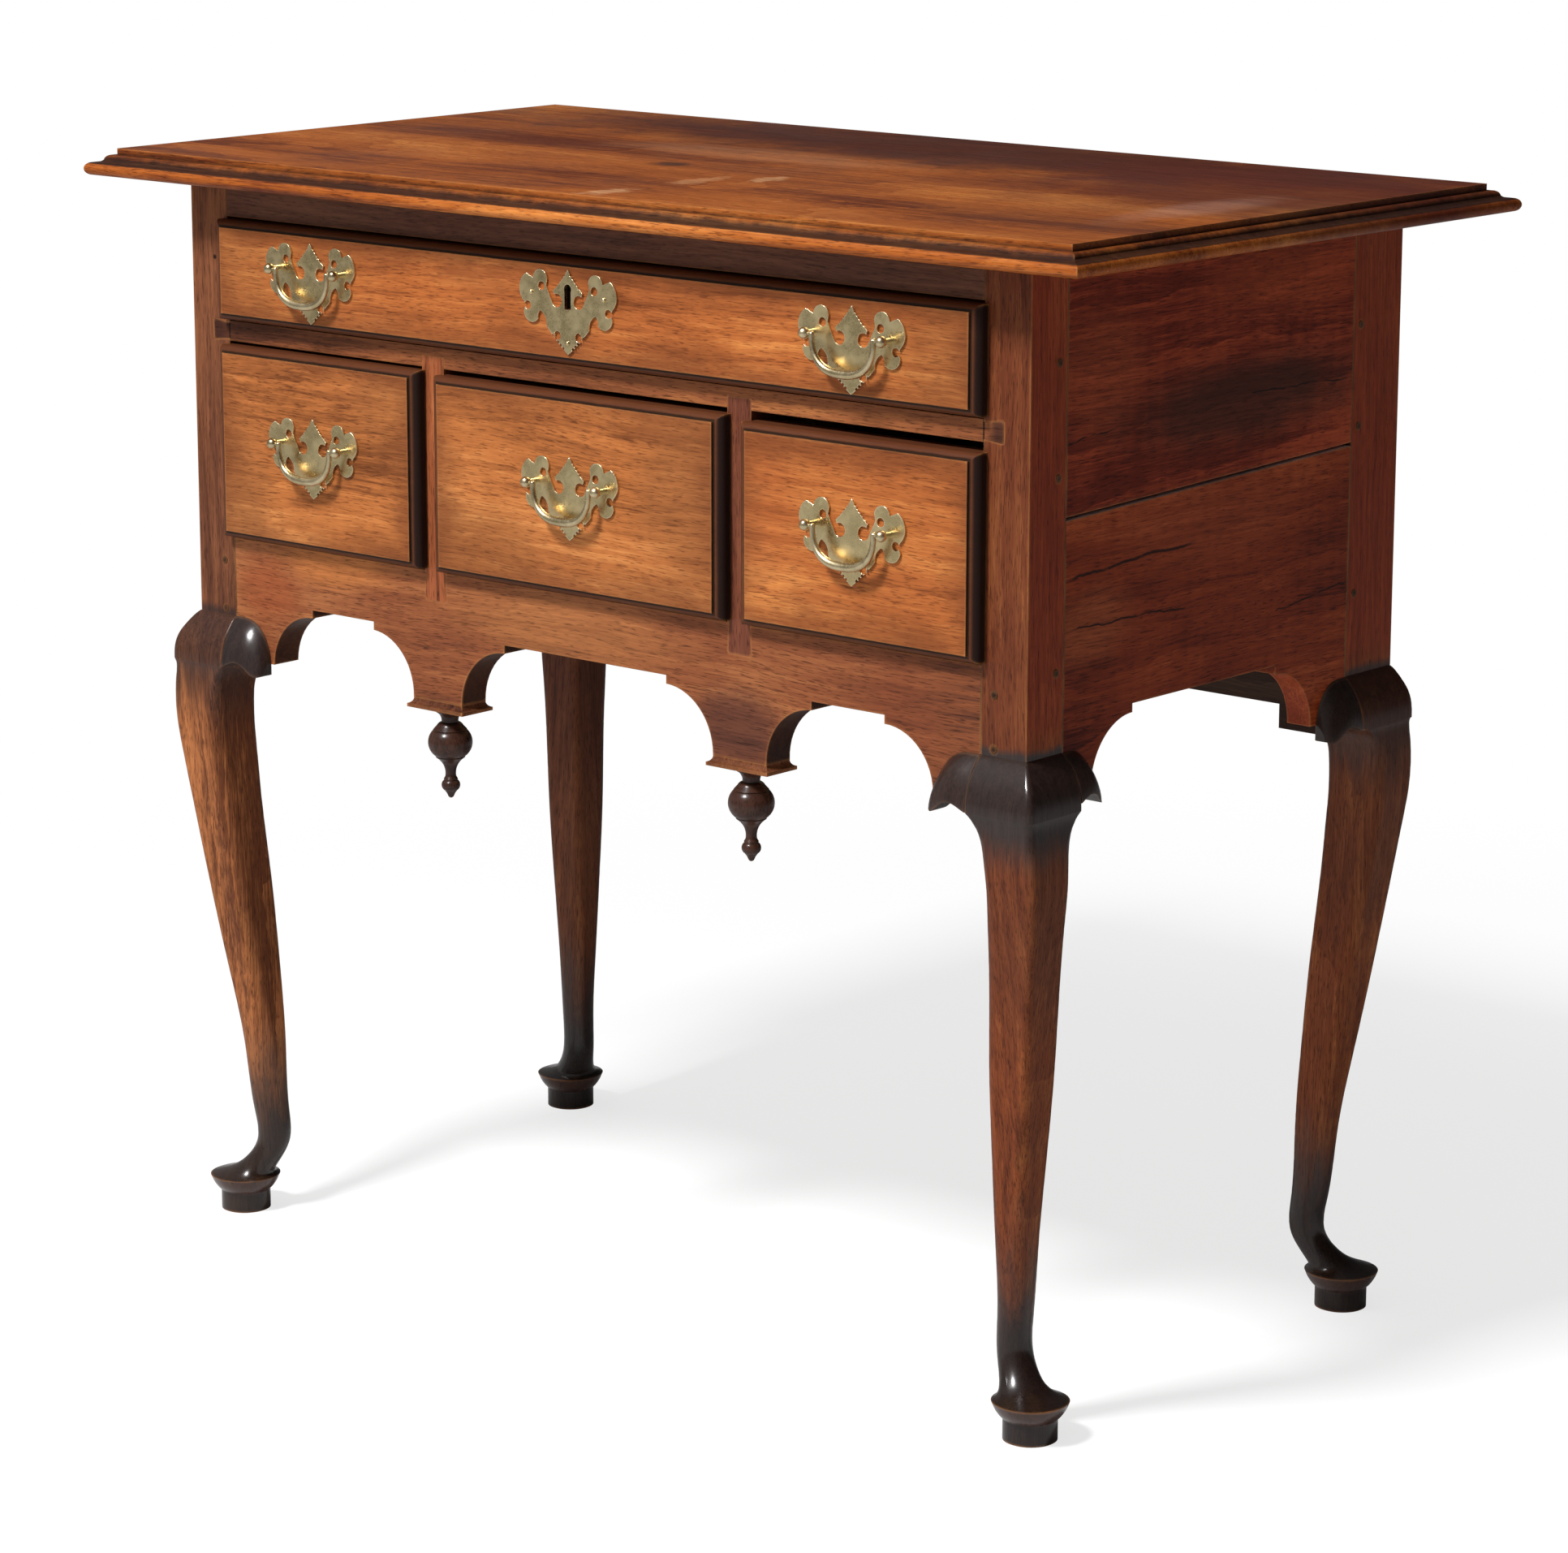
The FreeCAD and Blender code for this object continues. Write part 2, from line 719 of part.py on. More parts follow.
def right_drop():
    """Turned pendant with its spigot up into the apron."""
    head = lobe_bottom - plinth_height

    def station(shares):
        return (drop_radius * shares[0], head - drop_length * shares[1])

    steps = [tuple(station(point) for point in step) for step in drop_steps_shares]
    steps = [((spigot_radius, head + spigot_length),), ((spigot_radius, head),),
             ((drop_radius * drop_start_share, head),)] + steps
    body = outline_face((0, head + spigot_length), steps, on_front).revolve(origin, up, full_turn_degrees)
    body.translate(Vector(partition_offset, front_plane + apron_thickness / 2, 0))
    return body


def runner(top, front):
    """Right-hand drawer runner with the guide that fills out to the side board."""
    bearer = box(post_inner - runner_width, post_inner, front, back_front, top - runner_thickness, top)
    guide = box(post_inner, side_inner, front_post_rear, rear_post_front,
                top - runner_thickness, top + guide_height)
    return joined([bearer, guide])


def centre_runner():
    """Right-hand middle runner, shared by two drawers, with the guide strip between them."""
    half = centre_runner_width / 2
    bearer = box(partition_offset - half, partition_offset + half, apron_rear, back_front,
                 small_opening_bottom - runner_thickness, small_opening_bottom)
    guide = box(partition_inner, partition_outer, front_plane + partition_depth, back_front,
                small_opening_bottom, small_opening_bottom + centre_guide_height)
    return joined([bearer, guide])


def frame_pegs():
    """Pegs through the mortise joints of the right half."""
    pegs = []
    outer = half_width + peg_stand
    rows = ((front_post_peg_drops, front_plane + side_peg_inset),
            (rear_post_peg_drops, half_depth - rear_peg_inset))
    for drops, y in rows:
        for drop in drops:
            pegs.append(cylinder(peg_radius, peg_length, Vector(outer, y, post_top - drop), -across_x))
    for drop in apron_peg_drops:
        base = Vector(half_width - front_peg_inset, front_plane - peg_stand, post_top - drop)
        pegs.append(cylinder(peg_radius, peg_length, base, across_y))
    return pegs


def lip_bar(low, high, moulding, length, place, along):
    """Bar with the moulded lip along two edges; its back lies on the front of the case."""
    lip = front_plane - lip_thickness
    field = front_plane - front_proud
    edge = field + field_step
    bend = (moulding * (1 - quarter_share), between(lip, edge, quarter_share))
    steps = [
        ((low, lip),),
        ((low + bend[0], bend[1]), (low + moulding, edge)),
        ((low + moulding, field),),
        ((high - moulding, field),),
        ((high - moulding, edge),),
        ((high - bend[0], bend[1]), (high, lip)),
        ((high, front_plane),),
    ]
    return outline_face((low, front_plane), steps, place).extrude(along * length)


def drawer_front(opening, lip_gap):
    """Front with a moulded edge that laps the case at both sides."""
    x_low, x_high, z_low, z_high = opening
    left = x_low - lip_overlap
    right = x_high + lip_overlap
    foot = z_low + lip_foot_gap
    head = z_high - lip_gap
    sideways = lip_bar(left, right, side_moulding, head - foot, on_floor, up)
    sideways.translate(Vector(0, 0, foot))
    upright = lip_bar(foot, head, head_moulding, right - left, lambda a, b: on_side(b, a), across_x)
    upright.translate(Vector(left, 0, 0))
    body = box(x_low + drawer_clearance, x_high - drawer_clearance, front_plane, front_plane + front_body,
               foot, head)
    return joined([sideways.common(upright), body])


def drawer_side(opening, lip_gap, tails):
    """Left side of a drawer with half-blind dovetails at its front end."""
    x_low, x_high, z_low, z_high = opening
    low = z_low + drawer_lift
    high = z_high - lip_gap - drawer_headroom
    shoulder = front_plane + front_body
    pitch = (high - low) / tails
    slope = pitch * tail_slope_share
    side_x = x_low + drawer_clearance
    pieces = [box(side_x, side_x + drawer_side_thickness, shoulder, drawer_rear, low, high)]
    for index in range(tails):
        middle = low + pitch * (index + 1) - pitch / 2
        narrow = pitch * tail_half_share
        wide = narrow + slope
        steps = [((shoulder, middle + narrow),), ((shoulder - tail_length, middle + wide),),
                 ((shoulder - tail_length, middle - wide),)]
        tail = outline_face((shoulder, middle - narrow), steps, on_side)
        tail = tail.extrude(across_x * drawer_side_thickness)
        tail.translate(Vector(side_x, 0, 0))
        pieces.append(tail)
    return joined(pieces)


def drawer(opening, lip_gap, tails):
    """Five boards of one drawer: front, sides, back and bottom."""
    x_low, x_high, z_low, z_high = opening
    left = drawer_side(opening, lip_gap, tails)
    middle = (x_low + x_high) / 2
    right = left.mirror(Vector(middle, 0, 0), across_x)
    inner_left = x_low + drawer_clearance + drawer_side_thickness
    inner_right = x_high - drawer_clearance - drawer_side_thickness
    rear = drawer_rear
    bottom_low = z_low + drawer_lift + drawer_bottom_rise
    bottom_high = bottom_low + drawer_bottom_thickness
    high = z_high - lip_gap - drawer_headroom
    bottom = box(inner_left - groove_depth, inner_right + groove_depth,
                 front_plane + front_body - groove_depth, rear, bottom_low, bottom_high)
    back = box(inner_left, inner_right, rear - drawer_side_thickness, rear, bottom_high, high)
    front = drawer_front(opening, lip_gap).cut(left).cut(right).cut(bottom)
    return {
        "front": front, "left_side": left.cut(bottom), "right_side": right.cut(bottom),
        "back": back, "bottom": bottom,
    }


# Right half of a bat-wing plate from its bottom point: shares of half the width and of the height.
plate_half_shares = (
    ((0.235, 0.152), (0.435, 0.315)),
    ((0.478, 0.437), (0.565, 0.490)),
    ((0.605, 0.455), (0.617, 0.385)),
    ((0.795, 0.345), (0.905, 0.470)),
    ((0.872, 0.530),),
    ((0.905, 0.580),),
    ((0.990, 0.770), (0.855, 0.912)),
    ((0.711, 0.865),),
    ((0.575, 0.972), (0.424, 0.872)),
    ((0.445, 0.790),),
    ((0.311, 0.584),),
    ((0.121, 0.618), (0.277, 0.696)),
    ((0.299, 0.738),),
    ((0.140, 0.860), (0.0, 1.0)),
)
plate_hole_shares = ((0.540, 0.780), (0.825, 0.535), (0.215, 0.215))
spade_edge_shares = ((0.27, 0.77), (0.03, 0.975))
foot_edge_shares = ((0.36, 0.245), (0.05, 0.035))
pin_shares = ((-0.745, 0.695), (0.745, 0.695), (0.0, 0.135))


def plate_spot(shares):
    """Place on a plate, from its bottom point."""
    return (plate_width / 2 * shares[0], plate_height * shares[1])


def plate(place_x, bottom):
    """Bat-wing plate with bored eyes and filed nicks, flat on a drawer front."""
    steps = [tuple(plate_spot(point) for point in step) for step in plate_half_shares]
    right = path_edges((0, 0), steps, on_front)
    face = closed_face(right + [edge.mirror(origin, across_x) for edge in right])
    solid = face.extrude(across_y * -plate_thickness)
    cuts = []
    for shares in plate_hole_shares:
        x, z = plate_spot(shares)
        cuts.append((x, z, plate_hole_radius))
    for start, end in (spade_edge_shares, foot_edge_shares):
        first = plate_spot(start)
        last = plate_spot(end)
        for index in range(nick_count):
            share = (index + 1) / (nick_count + 1)
            cuts.append((between(first[0], last[0], share), between(first[1], last[1], share), nick_radius))
    for x, z, radius in cuts:
        for side in (-1, 1):
            solid = solid.cut(cylinder(radius, overrun, Vector(side * x, overrun / 2, z), -across_y))
    solid.translate(Vector(place_x, front_plane - front_proud, bottom))
    return solid


def keyhole(bottom):
    """Keyhole through the escutcheon and the front behind it."""
    high = bottom + plate_height * key_height_share
    low = bottom + plate_height * key_slot_bottom_share
    deep = front_plane - front_proud - overrun
    length = overrun + front_proud + key_depth
    half = key_slot_width / 2
    eye = cylinder(key_radius, length, Vector(0, deep, high), across_y)
    slot = box(-half, half, deep, deep + length, low, high)
    return eye.fuse(slot)


def escutcheon():
    """Key plate with its keyhole and three small nails."""
    face = front_plane - front_proud - plate_thickness
    nails = []
    for shares in pin_shares:
        x, z = plate_spot(shares)
        nails.append(Part.makeSphere(pin_radius, Vector(x, face, escutcheon_bottom + z)))
    solid = plate(0, escutcheon_bottom)
    behind = box(-plate_width, plate_width, face, face + overrun,
                 escutcheon_bottom, escutcheon_bottom + plate_height)
    return joined([solid] + [nail.cut(behind) for nail in nails]).cut(keyhole(escutcheon_bottom))


def handle_posts(place_x, bottom):
    """Two ball-headed posts with cross holes for the bail, and their shanks through the drawer front."""
    face = front_plane - front_proud - plate_thickness
    pivot = bottom + plate_height * pivot_height_share
    axis = face - ball_stand
    inside = front_plane + front_body + shank_end
    posts = []
    for side in (-1, 1):
        x = place_x + side * post_spacing_half
        ball = Part.makeSphere(ball_radius, Vector(x, axis, pivot))
        stem = cylinder(stem_radius, ball_stand, Vector(x, axis, pivot), across_y)
        shank = cylinder(shank_radius, inside - face, Vector(x, face, pivot), across_y)
        bore_start = Vector(place_x + side * bail_half_width, axis, pivot)
        bore = cylinder(bail_pin_radius + bail_pin_clearance, bail_pin_length + bail_pin_clearance,
                        bore_start, across_x * side)
        posts.append(joined([ball, stem, shank]).cut(bore))
    return Part.makeCompound(posts)


def bail_station(turn):
    """Place on the bail's centre line; zero is the middle of the grip, a right angle is an end."""
    power = 2 / bail_squareness
    side = math.copysign(abs(math.sin(turn)) ** power, turn)
    return (bail_half_width * side, -bail_drop * max(0, math.cos(turn)) ** power)


def bail(place_x, bottom):
    """Hanging bail, thickest in the middle, with a pin at each end."""
    quarter_turn = math.pi / 2
    wires = []
    count = bail_half_steps + bail_half_steps
    for index in range(count + 1):
        turn = between(-quarter_turn, quarter_turn, index / count)
        x, z = bail_station(turn)
        swell = math.cos(turn) ** 2
        step = quarter_turn / count / 4
        before = bail_station(max(-quarter_turn, turn - step))
        after = bail_station(min(quarter_turn, turn + step))
        lean = math.degrees(math.atan2(after[0] - before[0], after[1] - before[1]))
        ring = Part.Wire(Part.makeCircle(between(bail_end_radius, bail_middle_radius, swell)))
        ring.rotate(origin, across_y, lean)
        ring.translate(Vector(x, 0, z))
        wires.append(ring)
    grip = Part.makeLoft(wires, True, False)
    pieces = [grip]
    for side in (-1, 1):
        end = Vector(side * bail_half_width, 0, 0)
        pieces.append(Part.makeSphere(bail_end_radius, end))
        pieces.append(cylinder(bail_pin_radius, bail_pin_length, end, across_x * side))
    solid = joined(pieces)
    face = front_plane - front_proud - plate_thickness
    solid.translate(Vector(place_x, face - ball_stand, bottom + plate_height * pivot_height_share))
    return solid


def lock_bolt():
    """Bolt of the drawer lock, drawn back level with the top of the front."""
    top = long_opening_top - long_lip_gap
    rear = front_plane + front_body - (lock_thickness - bolt_thickness) / 2
    half = bolt_width / 2
    return box(-half, half, rear - bolt_thickness, rear, top - bolt_height, top)


def lock_case(bolt):
    """Lock let into the back of the long drawer's front."""
    top = long_opening_top - long_lip_gap
    rear = front_plane + front_body
    half = lock_width / 2
    seat = bolt.BoundBox
    case = box(-half, half, rear - lock_thickness, rear, top - lock_height, top)
    channel = box(seat.XMin - bolt_clearance, seat.XMax + bolt_clearance, seat.YMin - bolt_clearance,
                  seat.YMax + bolt_clearance, seat.ZMin - bolt_clearance, top + overrun)
    return case.cut(channel).cut(keyhole(escutcheon_bottom))


def small_opening(x_low, x_high):
    """Opening of one small drawer."""
    return (x_low, x_high, small_opening_bottom, small_opening_top)


def build_case():
    """Every fixed piece of the case, with its joints cut."""
    bolt = lock_bolt()
    drop = right_drop()
    uprights = right_partition()
    pegs = frame_pegs()
    pegs += [mirrored_x(peg) for peg in pegs]
    drops = pair(drop)
    apron = front_apron().cut(pair(uprights)).cut(drops)
    divider = drawer_divider().cut(pair(uprights))
    upper = side_board(False)
    lower = side_board(True)
    rail = top_rail(bolt)
    back = back_board()
    boards = {
        "front_apron": apron, "drawer_divider": divider, "top_rail": rail, "back_board": back,
        "right_side_upper_board": upper, "right_side_lower_board": lower,
        "left_side_upper_board": mirrored_x(upper), "left_side_lower_board": mirrored_x(lower),
    }
    front_left = leg(knee_bulge, post_width, foot_inset_y)
    rear_left = leg(back_knee_bulge, rear_post_depth, rear_foot_inset_y).mirror(origin, across_y)
    legs = {
        "front_left_leg": front_left, "front_right_leg": mirrored_x(front_left),
        "rear_left_leg": rear_left, "rear_right_leg": mirrored_x(rear_left),
    }
    tenons = Part.makeCompound(list(boards.values()))
    for name in legs:
        legs[name] = legs[name].cut(tenons)
    holes = Part.makeCompound(pegs)
    shapes = {}
    for group in (boards, legs):
        for name, shape in group.items():
            shapes[name] = shape.cut(holes)
    shapes["top_board"] = top_board()
    shapes["front_knee_blocks"] = front_knee_blocks()
    shapes["rear_knee_blocks"] = rear_knee_blocks()
    shapes["right_partition"] = uprights
    shapes["left_partition"] = mirrored_x(uprights)
    shapes["right_drop"] = drop
    shapes["left_drop"] = mirrored_x(drop)
    shapes["drop_plinths"] = pair(right_plinth()).cut(drops)
    shapes["upper_runners"] = pair(runner(long_opening_bottom, front_plane + divider_depth))
    shapes["lower_runners"] = pair(runner(small_opening_bottom, apron_rear))
    shapes["center_runners"] = pair(centre_runner())
    shapes["frame_pegs"] = holes
    return shapes


def build_drawers():
    """Four drawers with their brasses and the lock."""
    bolt = lock_bolt()
    side_middle = (partition_outer + post_inner) / 2
    long_opening = (-post_inner, post_inner, long_opening_bottom, long_opening_top)
    left_opening = small_opening(-post_inner, -partition_outer)
    centre_opening = small_opening(-partition_inner, partition_inner)
    right_opening = small_opening(partition_outer, post_inner)
    long_places = (-long_plate_offset, long_plate_offset)
    plans = (
        ("long_drawer", long_opening, long_lip_gap, long_tail_count, long_places, long_plate_bottom),
        ("left_drawer", left_opening, left_lip_gap, small_tail_count, (-side_middle,), small_plate_bottom),
        ("center_drawer", centre_opening, centre_lip_gap, small_tail_count, (0,), small_plate_bottom),
        ("right_drawer", right_opening, right_lip_gap, small_tail_count, (side_middle,), small_plate_bottom),
    )
    shapes = {}
    for name, opening, lip_gap, tails, places, bottom in plans:
        posts = Part.makeCompound([handle_posts(x, bottom) for x in places])
        plates = Part.makeCompound([plate(x, bottom) for x in places]).cut(posts)
        boards = drawer(opening, lip_gap, tails)
        boards["front"] = boards["front"].cut(posts)
        bails = [bail(x, bottom) for x in places]
        if len(places) > 1:
            case = lock_case(bolt)
            channel = box(bolt.BoundBox.XMin - bolt_clearance, bolt.BoundBox.XMax + bolt_clearance,
                          bolt.BoundBox.YMin - bolt_clearance, bolt.BoundBox.YMax + bolt_clearance,
                          bolt.BoundBox.ZMin, bolt.BoundBox.ZMax + overrun)
            outside = case.BoundBox
            seat = box(outside.XMin, outside.XMax, outside.YMin, outside.YMax, outside.ZMin, outside.ZMax)
            boards["front"] = boards["front"].cut(seat).cut(channel).cut(keyhole(escutcheon_bottom))
            shapes["lock_case"] = case
            shapes["lock_bolt"] = bolt
            shapes["escutcheon"] = escutcheon()
            shapes[name + "_plates"] = plates
            shapes[name + "_left_bail"] = bails[0]
            shapes[name + "_right_bail"] = bails[1]
        else:
            shapes[name + "_plate"] = plates
            shapes[name + "_bail"] = bails[0]
        shapes[name + "_handle_posts"] = posts
        for board, shape in boards.items():
            shapes[name + "_" + board] = shape
    return shapes


os.makedirs("parts", exist_ok=True)
everything = build_case()
everything.update(build_drawers())
for node, shape in everything.items():
    shape.exportStep("parts/" + node + ".step")
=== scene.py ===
"""Dresses the lowboy: wood and brass finishes, filed plates, studio light and camera."""
from __future__ import annotations

import json
import logging
import math
from dataclasses import dataclass, replace
from enum import Enum
from typing import Protocol

import bmesh
import bpy
from mathutils import Matrix, Vector
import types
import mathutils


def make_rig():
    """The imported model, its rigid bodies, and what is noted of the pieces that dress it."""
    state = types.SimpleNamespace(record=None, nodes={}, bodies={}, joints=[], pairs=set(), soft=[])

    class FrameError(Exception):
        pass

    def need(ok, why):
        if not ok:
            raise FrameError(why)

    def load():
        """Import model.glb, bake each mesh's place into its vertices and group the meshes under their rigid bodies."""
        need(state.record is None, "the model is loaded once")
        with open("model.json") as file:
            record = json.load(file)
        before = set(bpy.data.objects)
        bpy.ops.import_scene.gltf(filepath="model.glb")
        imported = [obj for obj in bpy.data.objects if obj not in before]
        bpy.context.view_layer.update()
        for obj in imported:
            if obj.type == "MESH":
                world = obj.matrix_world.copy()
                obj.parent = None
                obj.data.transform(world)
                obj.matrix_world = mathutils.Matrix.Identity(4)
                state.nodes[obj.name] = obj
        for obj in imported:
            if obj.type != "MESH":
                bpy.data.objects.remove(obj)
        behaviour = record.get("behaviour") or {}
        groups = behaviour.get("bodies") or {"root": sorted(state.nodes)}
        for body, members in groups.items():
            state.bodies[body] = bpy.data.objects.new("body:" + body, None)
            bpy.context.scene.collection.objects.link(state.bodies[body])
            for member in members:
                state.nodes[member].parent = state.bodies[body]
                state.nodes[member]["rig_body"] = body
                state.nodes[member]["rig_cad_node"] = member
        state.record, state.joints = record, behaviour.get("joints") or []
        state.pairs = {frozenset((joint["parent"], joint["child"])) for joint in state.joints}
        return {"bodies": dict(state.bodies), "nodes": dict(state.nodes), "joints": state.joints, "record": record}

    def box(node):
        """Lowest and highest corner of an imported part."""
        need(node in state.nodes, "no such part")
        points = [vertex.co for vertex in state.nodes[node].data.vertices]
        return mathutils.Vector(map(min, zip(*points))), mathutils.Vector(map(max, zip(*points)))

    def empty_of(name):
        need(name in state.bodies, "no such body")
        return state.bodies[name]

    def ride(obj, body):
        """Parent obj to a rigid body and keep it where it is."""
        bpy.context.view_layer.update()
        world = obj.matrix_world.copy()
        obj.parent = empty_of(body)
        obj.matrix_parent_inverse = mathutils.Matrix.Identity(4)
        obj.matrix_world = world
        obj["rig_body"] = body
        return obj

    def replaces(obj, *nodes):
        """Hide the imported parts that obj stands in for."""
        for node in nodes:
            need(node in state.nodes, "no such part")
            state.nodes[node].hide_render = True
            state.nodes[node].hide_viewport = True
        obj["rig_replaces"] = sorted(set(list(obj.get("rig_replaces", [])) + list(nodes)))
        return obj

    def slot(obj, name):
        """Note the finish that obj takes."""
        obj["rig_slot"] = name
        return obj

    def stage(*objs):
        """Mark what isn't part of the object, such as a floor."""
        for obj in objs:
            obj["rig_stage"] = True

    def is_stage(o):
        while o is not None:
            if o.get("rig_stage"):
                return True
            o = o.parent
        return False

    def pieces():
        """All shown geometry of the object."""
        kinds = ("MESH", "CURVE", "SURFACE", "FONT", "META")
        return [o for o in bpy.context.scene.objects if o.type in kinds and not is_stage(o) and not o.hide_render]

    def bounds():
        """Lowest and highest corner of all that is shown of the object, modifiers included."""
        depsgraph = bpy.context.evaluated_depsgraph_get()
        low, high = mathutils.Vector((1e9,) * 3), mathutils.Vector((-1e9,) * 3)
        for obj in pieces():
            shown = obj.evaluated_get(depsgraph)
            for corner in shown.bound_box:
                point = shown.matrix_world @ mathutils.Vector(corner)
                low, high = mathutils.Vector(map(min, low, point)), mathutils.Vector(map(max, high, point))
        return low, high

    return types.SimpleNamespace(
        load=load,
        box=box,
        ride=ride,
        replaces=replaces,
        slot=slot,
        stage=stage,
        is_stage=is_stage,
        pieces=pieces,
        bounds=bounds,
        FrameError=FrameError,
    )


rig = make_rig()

LOG = logging.getLogger("lowboy")
Color = tuple[float, float, float]
Triple = tuple[float, float, float]
Span = tuple[float, float]
Node = bpy.types.Node
Socket = bpy.types.NodeSocket
Tree = bpy.types.NodeTree
WHITE: Color = (1.0, 1.0, 1.0)
BLACKENED: Color = (0.014, 0.009, 0.008)
WIDE = 10.0


class GrainAxis(Enum):
    """Way the fibres of a board run, as the turn that lays them along X."""

    ALONG_X = (0.0, 0.0, 0.0)
    ALONG_Y = (0.0, 0.0, -math.pi / 2)
    ALONG_Z = (0.0, math.pi / 2, 0.0)


@dataclass(frozen=True)
class Speckle:
    """One noise: scale, octaves and their strength, stretch and move of its coordinates, and its share."""

    scale: float = 1.0
    detail: float = 2.0
    rough: float = 0.5
    stretch: Triple | None = None
    move: Triple = (0.0, 0.0, 0.0)
    share: float = 1.0


class Wiring:
    """Adds nodes to one node tree and joins their sockets."""

    def __init__(self, tree: Tree) -> None:
        """Keeps the tree that the nodes go into."""
        self.tree = tree

    def add(self, kind: str, inputs: dict | None = None, **settings: object) -> Node:
        """Adds one node with its settings, and sets or links its inputs.

        Args:
            kind: Blender's type name without the ShaderNode prefix.
            inputs: Input name or number to a socket to link or a plain value.
            **settings: Attributes of the node.

        Returns:
            The new node.
        """
        node = self.tree.nodes.new("ShaderNode" + kind)
        for name, value in settings.items():
            setattr(node, name, value)
        for key, value in (inputs or {}).items():
            self.feed(node.inputs[key], value)
        return node

    def feed(self, socket: Socket, value: object) -> None:
        """Links a socket or sets its value.

        Args:
            socket: Input to feed.
            value: Output socket to link, or a plain value.
        """
        if isinstance(value, Socket):
            self.tree.links.new(value, socket)
        elif isinstance(value, tuple) and len(value) == 3 and socket.type == "RGBA":
            socket.default_value = (*value, 1.0)
        else:
            socket.default_value = value

    def math(self, operation: str, *values: object, clamp: bool = False) -> Socket:
        """Adds a Math node for sockets or numbers, in order."""
        node = self.add("Math", dict(enumerate(values)), operation=operation, use_clamp=clamp)
        return node.outputs[0]

    def times(self, first: object, second: object) -> Socket:
        """Multiplies two values."""
        return self.math("MULTIPLY", first, second)

    def flip(self, value: object) -> Socket:
        """Takes a value away from one."""
        return self.math("SUBTRACT", 1.0, value)

    def vector(self, operation: str, *values: object) -> Socket:
        """Adds a Vector Math node for sockets or triples, in order."""
        node = self.add("VectorMath", dict(enumerate(values)), operation=operation)
        return node.outputs["Value" if operation in ("LENGTH", "DOT_PRODUCT") else "Vector"]

    def ramp(self, value: object, low: float, high: float) -> Socket:
        """Maps a value smoothly from 0 at low to 1 at high."""
        return self.span(value, (low, high), (0.0, 1.0), interpolation_type="SMOOTHSTEP")

    def span(self, value: object, before: Span, after: Span, **settings: object) -> Socket:
        """Maps a value from one span to another.

        Args:
            value: Socket to map.
            before: Ends of the span that the value comes from.
            after: Ends of the span that it goes to.
            **settings: Attributes of the Map Range node.

        Returns:
            The mapped socket.
        """
        inputs = {"Value": value, "From Min": before[0], "From Max": before[1],
                  "To Min": after[0], "To Max": after[1]}
        return self.add("MapRange", inputs, **settings).outputs["Result"]

    def blend(self, factor: object, first: object, second: object, mode: str = "MIX") -> Socket:
        """Mixes two colours.

        Args:
            factor: Socket or number from 0 to 1.
            first: Colour at 0.
            second: Colour at 1.
            mode: Blend mode.

        Returns:
            The mixed colour socket.
        """
        inputs = {0: factor, 6: first, 7: second}
        return self.add("Mix", inputs, data_type="RGBA", blend_type=mode).outputs[2]

    def noise(self, place: object, speckle: Speckle, scale: object = None) -> Socket:
        """Adds a noise texture.

        Args:
            place: Coordinates.
            speckle: Noise to add.
            scale: Socket that stands in for the noise's own scale, or None.

        Returns:
            The noise value socket, around 0.5.
        """
        if speckle.stretch is not None:
            place = self.stretch(place, speckle.stretch, speckle.move)
        inputs = {"Vector": place, "Scale": speckle.scale if scale is None else scale,
                  "Detail": speckle.detail, "Roughness": speckle.rough}
        return self.add("TexNoise", inputs).outputs[0]

    def stretch(self, place: object, scale: Triple, move: Triple = (0.0, 0.0, 0.0),
                turn: Triple = (0.0, 0.0, 0.0)) -> Socket:
        """Scales and turns coordinates, in radians, and then moves them."""
        inputs = {"Vector": place, "Scale": scale, "Location": move, "Rotation": turn}
        return self.add("Mapping", inputs).outputs[0]

    def centred(self, value: object, share: object) -> Socket:
        """Takes a noise value's distance from its middle, times a share."""
        return self.times(self.math("SUBTRACT", value, 0.5), share)

    def sway(self, place: object, speckle: Speckle) -> Socket:
        """Adds a noise round zero, times its own share."""
        return self.centred(self.noise(place, speckle), speckle.share)

    def group(self, tree: Tree, inputs: dict) -> Node:
        """Places a node group, with its inputs set or linked by name."""
        return self.add("Group", inputs, node_tree=tree)


